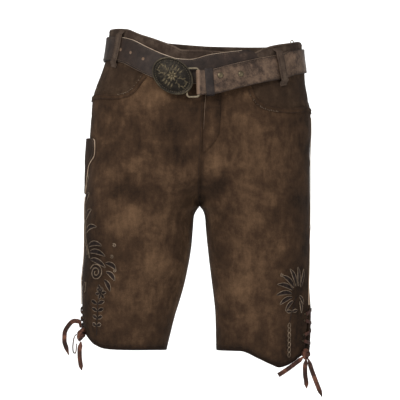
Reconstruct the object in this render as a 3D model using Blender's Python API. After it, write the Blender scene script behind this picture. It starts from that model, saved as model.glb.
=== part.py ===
"""Knee-length suede lederhosen with a belt and knee laces, in the hollow form that they have when worn.

X is to the wearer's left, Y to the back and Z up. Sizes are in millimetres. Right and left are the wearer's.
The origin is the centre of the waist, at the mean height of the waistband's two sides.
"""

import bmesh
import bpy
import numpy as np

MM = 0.001
WALL = 2.0
SEAM_GAP = 0.3
LAY_GAP = 0.5
SAMPLES = 96
SIGN = {"right": -1, "left": 1}

LOOKS = {
    "suede": ((0.165, 0.092, 0.050), 0.95, 0.0),
    "dark_suede": ((0.105, 0.060, 0.036), 0.95, 0.0),
    "belt_leather": ((0.110, 0.062, 0.040), 0.62, 0.0),
    "dark_leather": ((0.030, 0.020, 0.016), 0.6, 0.0),
    "lace_leather": ((0.200, 0.075, 0.042), 0.7, 0.0),
    "aged_brass": ((0.180, 0.130, 0.080), 0.45, 0.9),
    "dark_metal": ((0.050, 0.042, 0.038), 0.5, 0.9),
}


class Table:
    """Rows of named columns, read at any value of the first column along a smooth line."""

    def __init__(self, columns, *rows):
        self.names = columns
        self.values = np.array(sorted(rows), float).T

    def read(self, name, at):
        return smooth_line(self.values[0], self.values[self.names.index(name)], at)


def smooth_line(xs, ys, x):
    """A curve through the points that never overshoots them."""
    x = np.clip(x, xs[0], xs[-1])
    step = np.diff(xs)
    rise = np.diff(ys) / step
    same = rise[:-1] * rise[1:] > 0
    total = np.where(same, rise[:-1] + rise[1:], 1)
    inner = np.where(same, 2 * rise[:-1] * rise[1:] / total, 0)
    slope = np.concatenate([rise[:1], inner, rise[-1:]])
    i = np.clip(np.searchsorted(xs, x, side="right") - 1, 0, len(xs) - 2)
    t = (x - xs[i]) / step[i]
    low = ys[i] * (1 + 2 * t) * (1 - t) ** 2 + slope[i] * step[i] * t * (1 - t) ** 2
    high = ys[i + 1] * t * t * (3 - 2 * t) + slope[i + 1] * step[i] * t * t * (t - 1)
    return low + high


def ease(t):
    t = np.clip(t, 0, 1)
    return t * t * (3 - 2 * t)


# The body of the garment: how far each side, the front and the back reach at a height.
OUTLINE = Table(
    ("z", "right", "left", "front", "back", "power"),
    (30, -166, 174, 101, 100, 2.3),
    (0, -169, 176, 104, 106, 2.3),
    (-45, -175.5, 180, 106, 112, 2.3),
    (-60, -180, 182, 107, 114, 2.3),
    (-80, -187.5, 183, 108, 118, 2.3),
    (-105, -197, 187, 110, 123, 2.35),
    (-131, -199.5, 192.5, 111, 128, 2.35),
    (-167, -202, 193, 112, 132, 2.35),
    (-225, -206, 191, 110, 130, 2.3),
    (-268, -209, 191, 106, 122, 2.25),
    (-304, -212, 191, 102, 112, 2.2),
    (-384, -212.5, 191, 90, 96, 2.2),
    (-441, -217, 191, 78, 83, 2.2),
    (-499, -216.5, 194, 67, 71, 2.2),
    (-530, -214, 193.5, 62, 66, 2.2),
    (-560, -207, 192, 59, 62, 2.2),
    (-610, -200, 190, 56, 58, 2.2),
)
CENTRE_SEAM = Table(
    ("z", "x"), (30, 5), (-60, 5), (-103, 4), (-160, 1), (-225, -2), (-268, -5), (-304, -6)
)
# Where each leg's inner side is, and how far the leather is drawn off it under the crotch.
INSEAM = Table(
    ("z", "right", "left", "right_pull", "left_pull"),
    (-304, -6, -6, 0, 0),
    (-311, -7, -5, 5, 5),
    (-322, -9, -3, 7.5, 6.5),
    (-345, -13.5, 2, 5, 3.5),
    (-384, -21, 8.5, 1.2, 0.8),
    (-412, -27, 12.6, 0, 0),
    (-441, -33, 16.2, 0, 0),
    (-470, -41, 19.8, 0, 0),
    (-499, -50, 22.5, 0, 0),
    (-530, -58, 23.4, 0, 0),
    (-560, -65, 23.8, 0, 0),
    (-610, -72, 24, 0, 0),
)
# Each side seam turns to the front towards the knee, and each leg has its own depth there.
SIDE_TURN = Table(
    ("z", "right", "left"), (-120, 0, 0), (-304, 2, 8), (-441, 5, 18), (-499, 7, 24), (-610, 9, 30)
)
LEG_DEPTH = Table(("z", "right", "left"), (-304, 1, 1), (-560, 1.12, 0.92))
CROTCH_Z = -304.0
RISE = {"front": 105.0, "back": 145.0}

# Soft ridges (height over 0) and troughs. A place is u, the share of the way from the side seam to the
# centre seam or inseam (under 0 in front, over 0 behind), and z.
FOLDS = {
    "right": (
        ((-0.93, -285), (-0.55, -252), 13, -3.2),
        ((-0.90, -262), (-0.62, -222), 12, 2.4),
        ((-0.86, -330), (-0.45, -318), 14, -2.6),
        ((-0.70, -180), (-0.42, -150), 16, -2.0),
        ((-0.30, -300), (-0.12, -360), 15, 1.8),
        ((-0.80, -455), (-0.42, -438), 13, -2.4),
        ((-0.42, -478), (-0.16, -500), 12, -2.2),
        ((-0.72, -505), (-0.50, -540), 13, 1.8),
        ((0.92, -268), (0.50, -330), 15, -3.4),
        ((0.78, -250), (0.40, -285), 16, 2.4),
        ((0.85, -440), (0.35, -462), 14, -3.0),
        ((0.30, -150), (0.60, -215), 18, -2.2),
        ((0.70, -480), (0.42, -500), 13, 2.2),
    ),
    "left": (
        ((-0.93, -282), (-0.58, -246), 13, -3.0),
        ((-0.88, -330), (-0.50, -322), 14, -2.4),
        ((-0.60, -170), (-0.40, -205), 16, 1.8),
        ((-0.35, -250), (-0.15, -290), 15, -2.0),
        ((-0.75, -420), (-0.40, -432), 13, -2.2),
        ((-0.78, -500), (-0.45, -488), 13, -2.4),
        ((-0.60, -540), (-0.42, -575), 12, 2.2),
        ((0.92, -262), (0.52, -322), 15, -3.2),
        ((0.80, -244), (0.42, -272), 16, 2.2),
        ((0.82, -452), (0.38, -446), 14, -3.0),
        ((0.28, -165), (0.58, -230), 18, -2.2),
        ((0.60, -505), (0.30, -522), 13, 2.0),
    ),
}
GIRTH = 270.0


def section(side, face, z):
    """The level line of one half of a face, from the side seam to the centre seam or inseam."""
    sign = SIGN[side]
    above = z - CROTCH_Z
    out = OUTLINE.read(side, z)
    middle = np.where(above > 0, CENTRE_SEAM.read("x", z), INSEAM.read(side, z))
    merge = 1 - ease(above / RISE[face])
    half = abs(out - middle) / (1 + merge)
    centre = middle + sign * merge * half
    power = OUTLINE.read("power", z)
    start = np.radians(SIDE_TURN.read(side, z))
    end = np.arccos(-(merge ** (power / 2))) * (1 if face == "front" else -1)
    turn = start[:, None] + (end - start)[:, None] * np.linspace(0, 1, SAMPLES)
    across, deep = np.cos(turn), np.sin(turn)
    bend = (2 / power)[:, None]
    depth = LEG_DEPTH.read(side, z)
    front = (OUTLINE.read("front", z) * depth)[:, None]
    back = (OUTLINE.read("back", z) * depth)[:, None]
    pull = np.where(above > 0, 0, INSEAM.read(side + "_pull", z))[:, None] * ((1 - across) / 2) ** 4
    x = centre[:, None] + sign * (half[:, None] * np.sign(across) * abs(across) ** bend + pull)
    y = np.where(turn > 0, -front, back) * abs(deep) ** bend
    return np.stack([x, y], axis=2)


def run_of(line):
    steps = np.linalg.norm(np.diff(line, axis=1), axis=2).cumsum(axis=1)
    return np.concatenate([np.zeros((len(line), 1)), steps], axis=1)


def half_girth(side, face, z):
    z = np.atleast_1d(np.asarray(z, float))
    return run_of(section(side, face, z))[:, -1]


def on_face(side, face, z, share):
    line = section(side, face, z)
    run = run_of(line)
    wanted = share * run[:, -1]
    i = np.clip((run < wanted[:, None]).sum(axis=1) - 1, 0, SAMPLES - 2)
    n = np.arange(len(z))
    t = ((wanted - run[n, i]) / np.maximum(run[n, i + 1] - run[n, i], 1e-9))[:, None]
    return np.column_stack([line[n, i] * (1 - t) + line[n, i + 1] * t, z])


def plain_skin(side, u, z):
    share = np.clip(abs(u), 0, 1)
    front = on_face(side, "front", z, share)
    back = on_face(side, "back", z, share)
    return np.where((u < 0)[:, None], front, back)


def unit(v):
    return v / np.linalg.norm(v, axis=-1, keepdims=True)


def outward(side, u, z):
    """The direction out of the skin. At a centre seam it is that of its own half."""
    low, high = np.clip(u - 0.004, -1, 1), np.clip(u + 0.004, -1, 1)
    along = plain_skin(side, high, z) - plain_skin(side, low, z)
    up = plain_skin(side, u, z + 1) - plain_skin(side, u, z - 1)
    return unit(np.cross(along, up)) * SIGN[side]


def fold_height(side, u, z):
    height = np.zeros_like(z)
    place = np.column_stack([u * GIRTH, z])
    for start, end, width, rise in FOLDS[side]:
        a = np.array([start[0] * GIRTH, start[1]])
        b = np.array([end[0] * GIRTH, end[1]])
        t = np.clip((place - a) @ (b - a) / ((b - a) @ (b - a)), 0, 1)
        away = np.linalg.norm(place - a - t[:, None] * (b - a), axis=1)
        height += rise * np.exp(-((away / width) ** 2))
    return height


def skin(side, u, z, lift=0.0):
    """Points of the garment's outer face, or `lift` mm out from it. The arguments may be grids."""
    u, z, lift = np.broadcast_arrays(*(np.asarray(v, float) for v in (u, z, lift)))
    shape = u.shape
    u, z, lift = u.ravel(), z.ravel(), lift.ravel()
    rise = (fold_height(side, u, z) + lift)[:, None]
    return (plain_skin(side, u, z) + outward(side, u, z) * rise).reshape(shape + (3,))


def waist(angle, z, lift=0.0):
    """As skin, by the angle from the front centre: 90 is the left side seam and -90 the right one."""
    angle = (np.asarray(angle, float) + 180) % 360 - 180
    u = abs(angle) / 90 - 1
    right, left = skin("right", u, z, lift), skin("left", u, z, lift)
    return np.where((angle < 0)[..., None], right, left)


def add_object(name, points, faces, look):
    mesh = bpy.data.meshes.new(name)
    mesh.from_pydata([tuple(p) for p in np.asarray(points) * MM], [], faces)
    shape = bmesh.new()
    shape.from_mesh(mesh)
    bmesh.ops.recalc_face_normals(shape, faces=shape.faces)
    if shape.calc_volume(signed=True) < 0:
        bmesh.ops.reverse_faces(shape, faces=shape.faces)
    shape.to_mesh(mesh)
    shape.free()
    colour, roughness, metallic = LOOKS[look]
    material = bpy.data.materials.new(name)
    material.use_nodes = True
    surface = material.node_tree.nodes["Principled BSDF"]
    surface.inputs["Base Color"].default_value = (*colour, 1)
    surface.inputs["Roughness"].default_value = roughness
    surface.inputs["Metallic"].default_value = metallic
    mesh.materials.append(material)
    thing = bpy.data.objects.new(name, mesh)
    bpy.context.scene.collection.objects.link(thing)
    return thing


def slab(name, outer, inner, look):
    """A solid between two grids of points, closed along its four edges."""
    rows, columns = outer.shape[:2]
    index = np.arange(rows * columns).reshape(rows, columns)
    under = index + rows * columns
    faces = []
    for i in range(rows - 1):
        for j in range(columns - 1):
            faces.append((index[i, j], index[i, j + 1], index[i + 1, j + 1], index[i + 1, j]))
            faces.append((under[i, j], under[i + 1, j], under[i + 1, j + 1], under[i, j + 1]))
    border = np.concatenate([index[0, :-1], index[:-1, -1], index[-1, :0:-1], index[:0:-1, 0]])
    for a, b in zip(border, np.roll(border, -1)):
        faces.append((a, a + rows * columns, b + rows * columns, b))
    faces = [tuple(int(v) for v in face) for face in faces]
    return add_object(name, np.concatenate([outer.reshape(-1, 3), inner.reshape(-1, 3)]), faces, look)


def rings_solid(name, rings, look, closed=False):
    """A solid through a row of closed rings, with a flat cap at each end unless the row itself closes."""
    rings = np.asarray(rings)
    count, around = rings.shape[:2]
    faces = []
    for i in range(count if closed else count - 1):
        for j in range(around):
            a, b = i * around + j, i * around + (j + 1) % around
            c, d = (i + 1) % count * around + (j + 1) % around, (i + 1) % count * around + j
            faces.append((a, b, c, d))
    if not closed:
        faces.append(tuple(range(around)))
        faces.append(tuple(range((count - 1) * around, count * around)))
    return add_object(name, rings.reshape(-1, 3), faces, look)


def wire_loop(name, path, radius, look, around=8):
    """A round wire along a closed, flat path."""
    path = np.asarray(path)
    along = unit(np.roll(path, -1, axis=0) - np.roll(path, 1, axis=0))
    flat = unit(np.cross(path[0] - path.mean(axis=0), path[2] - path.mean(axis=0)))
    turn = np.linspace(0, 2 * np.pi, around, endpoint=False)
    side = np.cross(along, flat)
    rings = []
    for p, s in zip(path, side):
        rings.append(p + radius * (np.outer(np.cos(turn), s) + np.outer(np.sin(turn), flat)))
    return rings_solid(name, rings, look, closed=True)


def ribbon(name, centre, across, half, thick, look):
    """A flat strip along a line. `across` points over its width, and `half` is half that width at each point."""
    along = unit(np.gradient(centre, axis=0))
    across = unit(across - (across * along).sum(axis=1, keepdims=True) * along)
    face = np.cross(along, across)[:, None] * thick / 2
    rows = centre[:, None] + across[:, None] * (np.asarray(half)[:, None] * np.array([-1, 0, 1]))[..., None]
    return slab(name, rows + face, rows - face, look)


def strip_on(name, side, u, z, lift, width, thick, look):
    """A strip of leather that lies on a panel along the given places."""
    u, z = np.asarray(u, float), np.asarray(z, float)
    centre = skin(side, u, z, lift + thick / 2)
    across = np.cross(outward(side, u, z), np.gradient(centre, axis=0))
    return ribbon(name, centre, across, np.full(len(u), width / 2), thick, look)


# Waistband: its top edge round the body, which sinks in front.
BAND_HEIGHT = 48.0
WAIST_TOP = Table(
    ("angle", "z"),
    (-180, -4),
    (-135, 4),
    (-90, 11),
    (-72, 9),
    (-58, 5.5),
    (-46, -5.6),
    (-36, -14),
    (-28, -21.5),
    (-21, -28.6),
    (-16, -35),
    (0, -36.5),
    (20, -39),
    (32, -39.7),
    (37, -34.4),
    (46, -25.9),
    (63, -17.8),
    (76, -13),
    (90, -12.6),
    (135, -8),
    (180, -4),
)
POCKET_EDGE = {
    "right": Table(
        ("share", "z"),
        (0, -113),
        (0.067, -109.5),
        (0.176, -106),
        (0.37, -109.5),
        (0.454, -106.5),
        (0.504, -97.5),
        (0.529, -85.5),
        (0.555, -75),
        (0.575, -62),
    ),
    "left": Table(
        ("share", "z"),
        (0, -134),
        (0.168, -128.5),
        (0.37, -133.5),
        (0.521, -130.5),
        (0.597, -124.5),
        (0.639, -114),
        (0.664, -100.5),
        (0.69, -88),
    ),
}
HEM = {
    "right": Table(
        ("u", "z"),
        (-1, -563),
        (-0.65, -557),
        (-0.31, -555),
        (-0.176, -548),
        (-0.1, -538),
        (0, -528),
        (0.12, -540),
        (0.3, -555),
        (0.65, -558),
        (1, -563),
    ),
    "left": Table(
        ("u", "z"),
        (-1, -563),
        (-0.65, -560),
        (-0.47, -573),
        (-0.36, -583),
        (-0.28, -588.5),
        (-0.2, -585),
        (-0.08, -573),
        (0, -567),
        (0.3, -564),
        (0.65, -561),
        (1, -563),
    ),
}
FRONT_COLUMNS = {
    "right": (0, 0.06, 0.12, 0.19, 0.27, 0.35, 0.42, 0.47, 0.505, 0.53, 0.553, 0.575)
    + (0.64, 0.71, 0.78, 0.85, 0.92, 1),
    "left": (0, 0.06, 0.12, 0.19, 0.27, 0.35, 0.43, 0.51, 0.57, 0.61, 0.639, 0.664, 0.69)
    + (0.75, 0.81, 0.87, 0.93, 1),
}
BACK_COLUMNS = (0, 0.07, 0.14, 0.22, 0.3, 0.38, 0.46, 0.54, 0.62, 0.7, 0.78, 0.86, 0.93, 1)
SHARED_ROWS = (-155, -180, -204, -226, -246, -263, -277, -288, -297, -304)
SHARED_ROWS += (-311, -320, -333, -352, -376, -402, -430, -455, -480)
UPPER_ROWS = 4
LOWER_ROWS = 5
SLIT_TOP = -482.0
SLIT_GAP = 7.0


def waist_seam(side, u):
    """Where the panel meets the waistband."""
    angle = SIGN[side] * 90 * (1 + np.asarray(u))
    return WAIST_TOP.read("z", angle) - BAND_HEIGHT


def panel_rows(top, hem):
    """Heights down a panel: from its own top to rows that all panels share, then to its own hem."""
    upper = np.linspace(top, SHARED_ROWS[0], UPPER_ROWS + 1)[:-1]
    lower = np.linspace(SHARED_ROWS[-1], hem, LOWER_ROWS + 1)[1:]
    shared = np.repeat(np.array(SHARED_ROWS, float)[:, None], len(top), axis=1)
    return np.concatenate([upper, shared, lower])


def panel(name, side, face):
    sign = -1 if face == "front" else 1
    columns = np.array(FRONT_COLUMNS[side] if face == "front" else BACK_COLUMNS)
    top = waist_seam(side, sign * columns) - 2 * SEAM_GAP
    if face == "front":
        edge = POCKET_EDGE[side]
        cut = columns < edge.values[0][-1] - 1e-6
        top = np.where(cut, edge.read("z", columns), top)
    z = panel_rows(top, HEM[side].read("z", sign * columns))
    girth = half_girth(side, face, z.ravel()).reshape(z.shape)
    slit = SLIT_GAP / 2 * ease((SLIT_TOP - z) / 60)
    share = columns + (SEAM_GAP / 2 + slit) / girth * (1 - columns) ** 8 - SEAM_GAP / 2 / girth * (columns > 0.999)
    u = sign * share
    return slab(name, skin(side, u, z), skin(side, u, z, -WALL), "suede")


def hip_piece(name, side):
    """The piece that shows above the pocket's edge. It goes down behind the front panel."""
    edge = POCKET_EDGE[side]
    columns = np.array([c for c in FRONT_COLUMNS[side] if c <= edge.values[0][-1]])
    top = waist_seam(side, -columns) - 2 * SEAM_GAP
    bottom = np.minimum(edge.read("z", columns) - 12, top - 10)
    z = np.linspace(top, bottom, 8)
    share = columns + 3 * SEAM_GAP / GIRTH * (columns < 0.001)
    lift = -(WALL + 0.4) * (1 - ease((z - edge.read("z", columns) - 8) / 18))
    return slab(name, skin(side, -share, z, lift), skin(side, -share, z, lift - WALL), "dark_suede")


def pocket_band(name, side):
    edge = POCKET_EDGE[side]
    share = np.array([c for c in FRONT_COLUMNS[side] if 0.01 < c < edge.values[0][-2] + 0.001])
    z = edge.read("z", share)
    steep = np.gradient(z, share * GIRTH)
    width = 9.0
    away = width / 2 + 0.6
    shift = away / np.sqrt(1 + steep**2)
    place = -(share + steep * shift / GIRTH)
    return strip_on(name, side, place, z - shift, LAY_GAP, width, 1.4, "suede")


FLY_WIDTH = Table(("z", "width"), (-80, 27), (-172, 27), (-190, 21.5), (-203, 12), (-211, 4))


def fly_flap():
    """The flap over the front centre seam, with a rounded lower end."""
    z = np.array([-89, -108, -130, -152, -172, -183, -193, -202, -208, -211.0])[:, None] + np.zeros(6)
    away = 0.4 + np.linspace(0, 1, 6) * FLY_WIDTH.read("width", z)
    girth = half_girth("left", "front", z.ravel()).reshape(z.shape)
    u = -(1 - away / girth)
    slab("fly_flap", skin("left", u, z, LAY_GAP + 1.5), skin("left", u, z, LAY_GAP), "suede")


KNIFE_POCKET = Table(
    ("z", "front", "back", "stand_off"),
    (-184, 42, 26, 4.5),
    (-190, 51, 29, 4.5),
    (-204, 53, 30, 4.5),
    (-217, 51, 29, 4.5),
    (-226, 40, 24, 4.2),
    (-236, 28, 20, 3.4),
    (-256, 22, 17, 2.6),
    (-271, 13, 10, 1.5),
    (-283, 5, 4, 0.3),
)


def knife_pocket():
    """A long narrow pocket over the right side seam, open at its top."""
    z = KNIFE_POCKET.values[0][::-1][:, None] + np.zeros(11)
    across = np.linspace(-1, 1, 11)
    reach = np.where(across < 0, KNIFE_POCKET.read("front", z), KNIFE_POCKET.read("back", z))
    u = across * reach / GIRTH
    lift = LAY_GAP + KNIFE_POCKET.read("stand_off", z) * (1 - abs(across) ** 2.5)
    slab("knife_pocket", skin("right", u, z, lift + 1.8), skin("right", u, z, lift), "dark_suede")


def waistband():
    """One band round the waist, whose right end laps over the left one in front."""
    ends = np.array([5.2, 4.9, 4.2, 3.0, 1.2])
    around = np.concatenate([ends, -np.linspace(3, 351, 59), [-360, -369]])
    lift = (WALL + 0.4) * (1 - ease((-around - 12) / 16))
    inset = np.concatenate([[8, 4.6, 2.4, 0.8, 0.1], np.zeros(len(around) - 5)])
    top = WAIST_TOP.read("z", (around + 180) % 360 - 180)
    share = np.linspace(0, 1, 4)[:, None]
    z = top - inset - share * (BAND_HEIGHT - 2 * inset)
    slab("waistband", waist(around, z, lift), waist(around, z, lift - WALL), "suede")


# Belt: its centre line from the free tip round the back to the fold at the buckle's bar.
BELT_WIDTH = 42.0
BELT_THICK = 2.6
BELT_COLUMNS = 5
BELT = Table(
    ("run", "z", "lift"),
    (-35, -53.4, 4.3),
    (-26, -57.3, 4.3),
    (-4, -65.4, 4.3),
    (10, -74, 4.3),
    (18, -73, 4.3),
    (30, -63.7, 4.1),
    (42, -49.7, 3.0),
    (55, -34.5, 2.9),
    (70, -27, 2.9),
    (90, -24, 3.0),
    (135, -30, 3.2),
    (180, -36, 2.7),
    (270, -44.1, 2.8),
    (296, -53, 2.8),
    (308, -62.5, 3.6),
    (320, -69.1, 6.8),
    (328, -74, 9.0),
    (334, -77.9, 10.0),
    (344, -84.5, 12.8),
    (351, -90, 15.9),
    (356, -93, 16.5),
    (364, -94, 16.5),
)
BELT_BACK_LIFT = 9.7
BELT_FRONT_LIFT = 16.5
BAR_RADIUS = 1.8


def belt_line(run, lift=None):
    run = np.asarray(run, float)
    z = BELT.read("z", run)
    lift = BELT.read("lift", run) if lift is None else np.full(len(run), lift)
    centre = waist(-run, z, lift)
    up = waist(-run, z + 1, lift) - waist(-run, z - 1, lift)
    return centre, up


def bar_frame():
    """The centre of the buckle's bar, with the belt's direction, its width and the way out."""
    centre, up = belt_line([362, 363, 364])
    along = unit(centre[2] - centre[0])
    width = unit(up[2] - (up[2] @ along) * along)
    out = unit(np.cross(width, along))
    if out[1] > 0:
        out = -out
    return centre[2], along, width, out


def belt():
    start = np.array([-35, -34.6, -33.6, -32, -29.5, -26])
    body = np.concatenate([np.arange(-20, 61, 6), np.arange(68, 290, 9), np.arange(293, 364, 5.5)])
    run = np.concatenate([start, body])
    half = np.full(len(run), BELT_WIDTH / 2)
    half[:6] = (5, 9, 13.5, 17.5, 20, 21)
    z, lift = BELT.read("z", run), BELT.read("lift", run)
    per_degree = GIRTH / 90
    lean = np.arctan(np.gradient(z, run * per_degree))
    across = half[:, None] * np.linspace(-1, 1, BELT_COLUMNS)
    place = -run[:, None] + across * np.sin(lean)[:, None] / per_degree
    high = z[:, None] + across * np.cos(lean)[:, None]
    outer = waist(place, high, lift[:, None] + BELT_THICK / 2)
    inner = waist(place, high, lift[:, None] - BELT_THICK / 2)
    end, along, width, out = bar_frame()
    radius = (BELT_FRONT_LIFT - BELT_BACK_LIFT) / 2
    turn = np.linspace(0, np.pi, 9)[1:-1]
    curl = end - out * radius + radius * (np.outer(np.sin(turn), along) + np.outer(np.cos(turn), out))
    back, _ = belt_line([364, 359, 354, 349], BELT_BACK_LIFT)
    back += (end - out * 2 * radius) - back[0]
    fold = np.concatenate([[end], curl, back])
    step = unit(np.gradient(fold, axis=0))
    face = np.cross(width, step)[:, None] * BELT_THICK / 2
    face *= np.sign(face[0, 0] @ out)
    rows = fold[:, None] + width * (np.linspace(-1, 1, BELT_COLUMNS) * BELT_WIDTH / 2)[:, None]
    slab("belt", np.concatenate([outer, rows + face]), np.concatenate([inner, rows - face]), "belt_leather")


def keeper():
    """The narrow loop that holds the belt's folded end."""
    centre, up = belt_line([354.5, 357.5, 360.5])
    back, _ = belt_line([357.5], BELT_BACK_LIFT)
    along = unit(centre[2] - centre[0])
    width = unit(up[1] - (up[1] @ along) * along)
    out = unit(centre[1] - back[0])
    middle = (centre[1] + back[0]) / 2
    tall = BELT_WIDTH / 2 + 1.2
    deep = (BELT_FRONT_LIFT - BELT_BACK_LIFT) / 2 + BELT_THICK / 2 + 0.45
    corners = []
    for grow in (0, 1.5):
        w, d = tall + grow, deep + grow
        corners.append([(-w, -d), (w, -d), (w, d), (-w, d)])
    rings = []
    for step in (-7, 7):
        for loop in corners if step < 0 else corners[::-1]:
            rings.append([middle + along * step + width * w + out * d for w, d in loop])
    rings_solid("belt_keeper", [rings[0], rings[1], rings[2], rings[3]], "dark_leather", closed=True)


def buckle_ring():
    end, along, width, out = bar_frame()
    bar = end - out * (BELT_FRONT_LIFT - BELT_BACK_LIFT) / 2
    tall, long, corner = 24.6, 21.0, 5.0
    turn = np.radians(np.arange(0, 91, 22.5))
    path = []
    corners = (
        (long - corner, tall - corner, 0),
        (corner, tall - corner, 90),
        (corner, corner - tall, 180),
        (long - corner, corner - tall, 270),
    )
    for cx, cy, start in corners:
        for t in turn + np.radians(start):
            path.append(bar + along * (cx + corner * np.cos(t)) + width * (cy + corner * np.sin(t)))
    wire_loop("buckle_ring", path, BAR_RADIUS, "dark_metal")


PLATE_CENTRE = np.array([-51.8, -120.6, -82.1])
PLATE_HALF = (39.0, 28.6)
PLATE_TILT = -35.0
PLATE_YAW = 12.3
PLATE_PROFILE = (
    (1.0, 0.0),
    (1.0, 2.2),
    (0.975, 3.4),
    (0.93, 3.6),
    (0.9, 2.8),
    (0.87, 2.8),
    (0.7, 4.4),
    (0.45, 5.6),
    (0.2, 6.2),
    (0.04, 6.3),
)


def plate_axes():
    yaw, tilt = np.radians(PLATE_YAW), np.radians(PLATE_TILT)
    right = np.array([np.cos(yaw), -np.sin(yaw), 0])
    up = np.array([0, 0, 1.0])
    out = np.cross(right, up)
    return np.cos(tilt) * right + np.sin(tilt) * up, np.cos(tilt) * up - np.sin(tilt) * right, out


def buckle_plate():
    """An oval, domed plate with a raised rim."""
    long, short, out = plate_axes()
    turn = np.linspace(0, 2 * np.pi, 40, endpoint=False)
    rings = []
    for share, height in PLATE_PROFILE:
        flat = np.outer(np.cos(turn) * PLATE_HALF[0], long) + np.outer(np.sin(turn) * PLATE_HALF[1], short)
        rings.append(PLATE_CENTRE + flat * share + out * height)
    rings_solid("buckle_plate", rings, "aged_brass")


def round_stud(name, base, out, profile, look, around=16):
    """A small round piece whose profile gives radius and height."""
    side = unit(np.cross(out, np.array([0.1, 0.2, 1.0])))
    other = np.cross(out, side)
    turn = np.linspace(0, 2 * np.pi, around, endpoint=False)
    circle = np.outer(np.cos(turn), side) + np.outer(np.sin(turn), other)
    rings_solid(name, [base + circle * radius + out * height for radius, height in profile], look)


def buckle_hook():
    """The stud on the plate's back that holds it in a hole of the belt."""
    out = plate_axes()[2]
    run = np.array([20.0, 21.0])
    face = belt_line(run)[0][0] + out * (BELT_THICK / 2 + 1.4)
    gap = (PLATE_CENTRE - face) @ out - 0.3
    base = PLATE_CENTRE - out * (gap + 0.3)
    round_stud("buckle_hook", base, out, ((3.5, 0), (3.5, gap)), "dark_metal", 12)


def rivets():
    profile = ((5.0, 0), (5.0, 0.6), (4.2, 1.5), (2.6, 2.1), (0.6, 2.3))
    for name, run, drop in (("belt_rivet_1", 350.2, 7.0), ("belt_rivet_2", 337.5, 1.5)):
        centre, up = belt_line([run - 1, run, run + 1])
        along = unit(centre[2] - centre[0])
        width = unit(up[1] - (up[1] @ along) * along)
        out = unit(np.cross(along, width))
        out = -out if out[1] > 0 else out
        round_stud(name, centre[1] + width * drop + out * (BELT_THICK / 2 + 0.3), out, profile, "dark_metal")


# Belt loops: where each starts and ends, and how far it stands out over the belt.
BELT_LOOPS = (
    ("loop_front_right", -61.4, 3.5, -64.5, -61, 4.8),
    ("loop_front_left", 49.5, -30, 53, -95, 8.2),
    ("loop_back_right", -130, 1, -130, -62, 4.8),
    ("loop_back_centre", 180, -5, 180, -67, 4.8),
    ("loop_back_left", 130, -9, 130, -71, 4.8),
)


def belt_loops():
    share = np.array([0, 0.05, 0.09, 0.13, 0.35, 0.65, 0.87, 0.91, 0.95, 1])
    raised = np.array([0, 0, 0.55, 1, 1, 1, 1, 0.55, 0, 0])
    for name, top_angle, top, low_angle, low, stand_off in BELT_LOOPS:
        angle = top_angle + (low_angle - top_angle) * share
        z = top + (low - top) * share
        lift = LAY_GAP + 1.0 + (stand_off - LAY_GAP) * raised
        centre = waist(angle, z, lift)
        across = waist(angle + 1, z, lift) - waist(angle - 1, z, lift)
        ribbon(name, centre, across, np.full(len(share), 7.0), 2.0, "suede")


def waist_ring():
    """A small wire ring behind the waistband's top edge."""
    angle, radius = 66.5, 4.6
    z = float(WAIST_TOP.read("z", angle)) - 0.5
    lift = -WALL - 0.4 - 0.9
    middle = waist(angle, z, lift)
    right = unit(waist(angle + 1, z, lift) - waist(angle - 1, z, lift))
    up = unit(waist(angle, z + 1, lift) - waist(angle, z - 1, lift))
    turn = np.linspace(0, 2 * np.pi, 20, endpoint=False)
    path = middle + radius * (np.outer(np.cos(turn), right) + np.outer(np.sin(turn), up))
    wire_loop("waist_ring", path, 0.9, "aged_brass", 6)


def side_welts():
    """A narrow strip over each side seam."""
    for side, top in (("right", -288), ("left", -146)):
        z = np.linspace(top, SLIT_TOP + 2, 16)
        strip_on("welt_" + side, side, np.zeros(16), z, LAY_GAP, 4.0, 1.4, "dark_suede")


# Laces: flat leather thongs.
LACE_WIDTH = 8.0
LACE_THICK = 1.8
LACING = {
    "right": ((-491, 3), (-506, -3), (-519, 2)),
    "left": ((-492, 3), (-510, -3), (-529, 3), (-546, -3)),
}


def lacing():
    """The lace's crossings over each knee slit."""
    share = np.linspace(-1, 1, 7)
    for side, rows in LACING.items():
        for i, (z, slope) in enumerate(rows, 1):
            u = share * 13 / GIRTH
            lift = LAY_GAP + 1.4 * (1 - share**2)
            centre = skin(side, u, z + share * slope, lift + LACE_THICK / 2)
            up = np.tile([0, 0, 1.0], (7, 1))
            half = np.full(7, 3.0)
            ribbon(f"lacing_{side}_{i}", centre, up, half, LACE_THICK, "lace_leather")


def through(points, count):
    """Evenly spaced points of a smooth line through the given ones."""
    points = np.array(points, float)
    run = np.concatenate([[0], np.linalg.norm(np.diff(points, axis=0), axis=1).cumsum()])
    fine = np.linspace(0, run[-1], count)
    return np.column_stack([smooth_line(run, points[:, k], fine) for k in range(3)])


# Knots: the place on the skin, half the size each way, the lean in degrees and the space under them.
KNOTS = {
    "right": (-0.07, -531, (6.3, 6.3, 13.0), 10, 0.9),
    "left": (-0.04, -566, (6.8, 6.3, 9.0), -18, -0.3),
}
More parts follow.
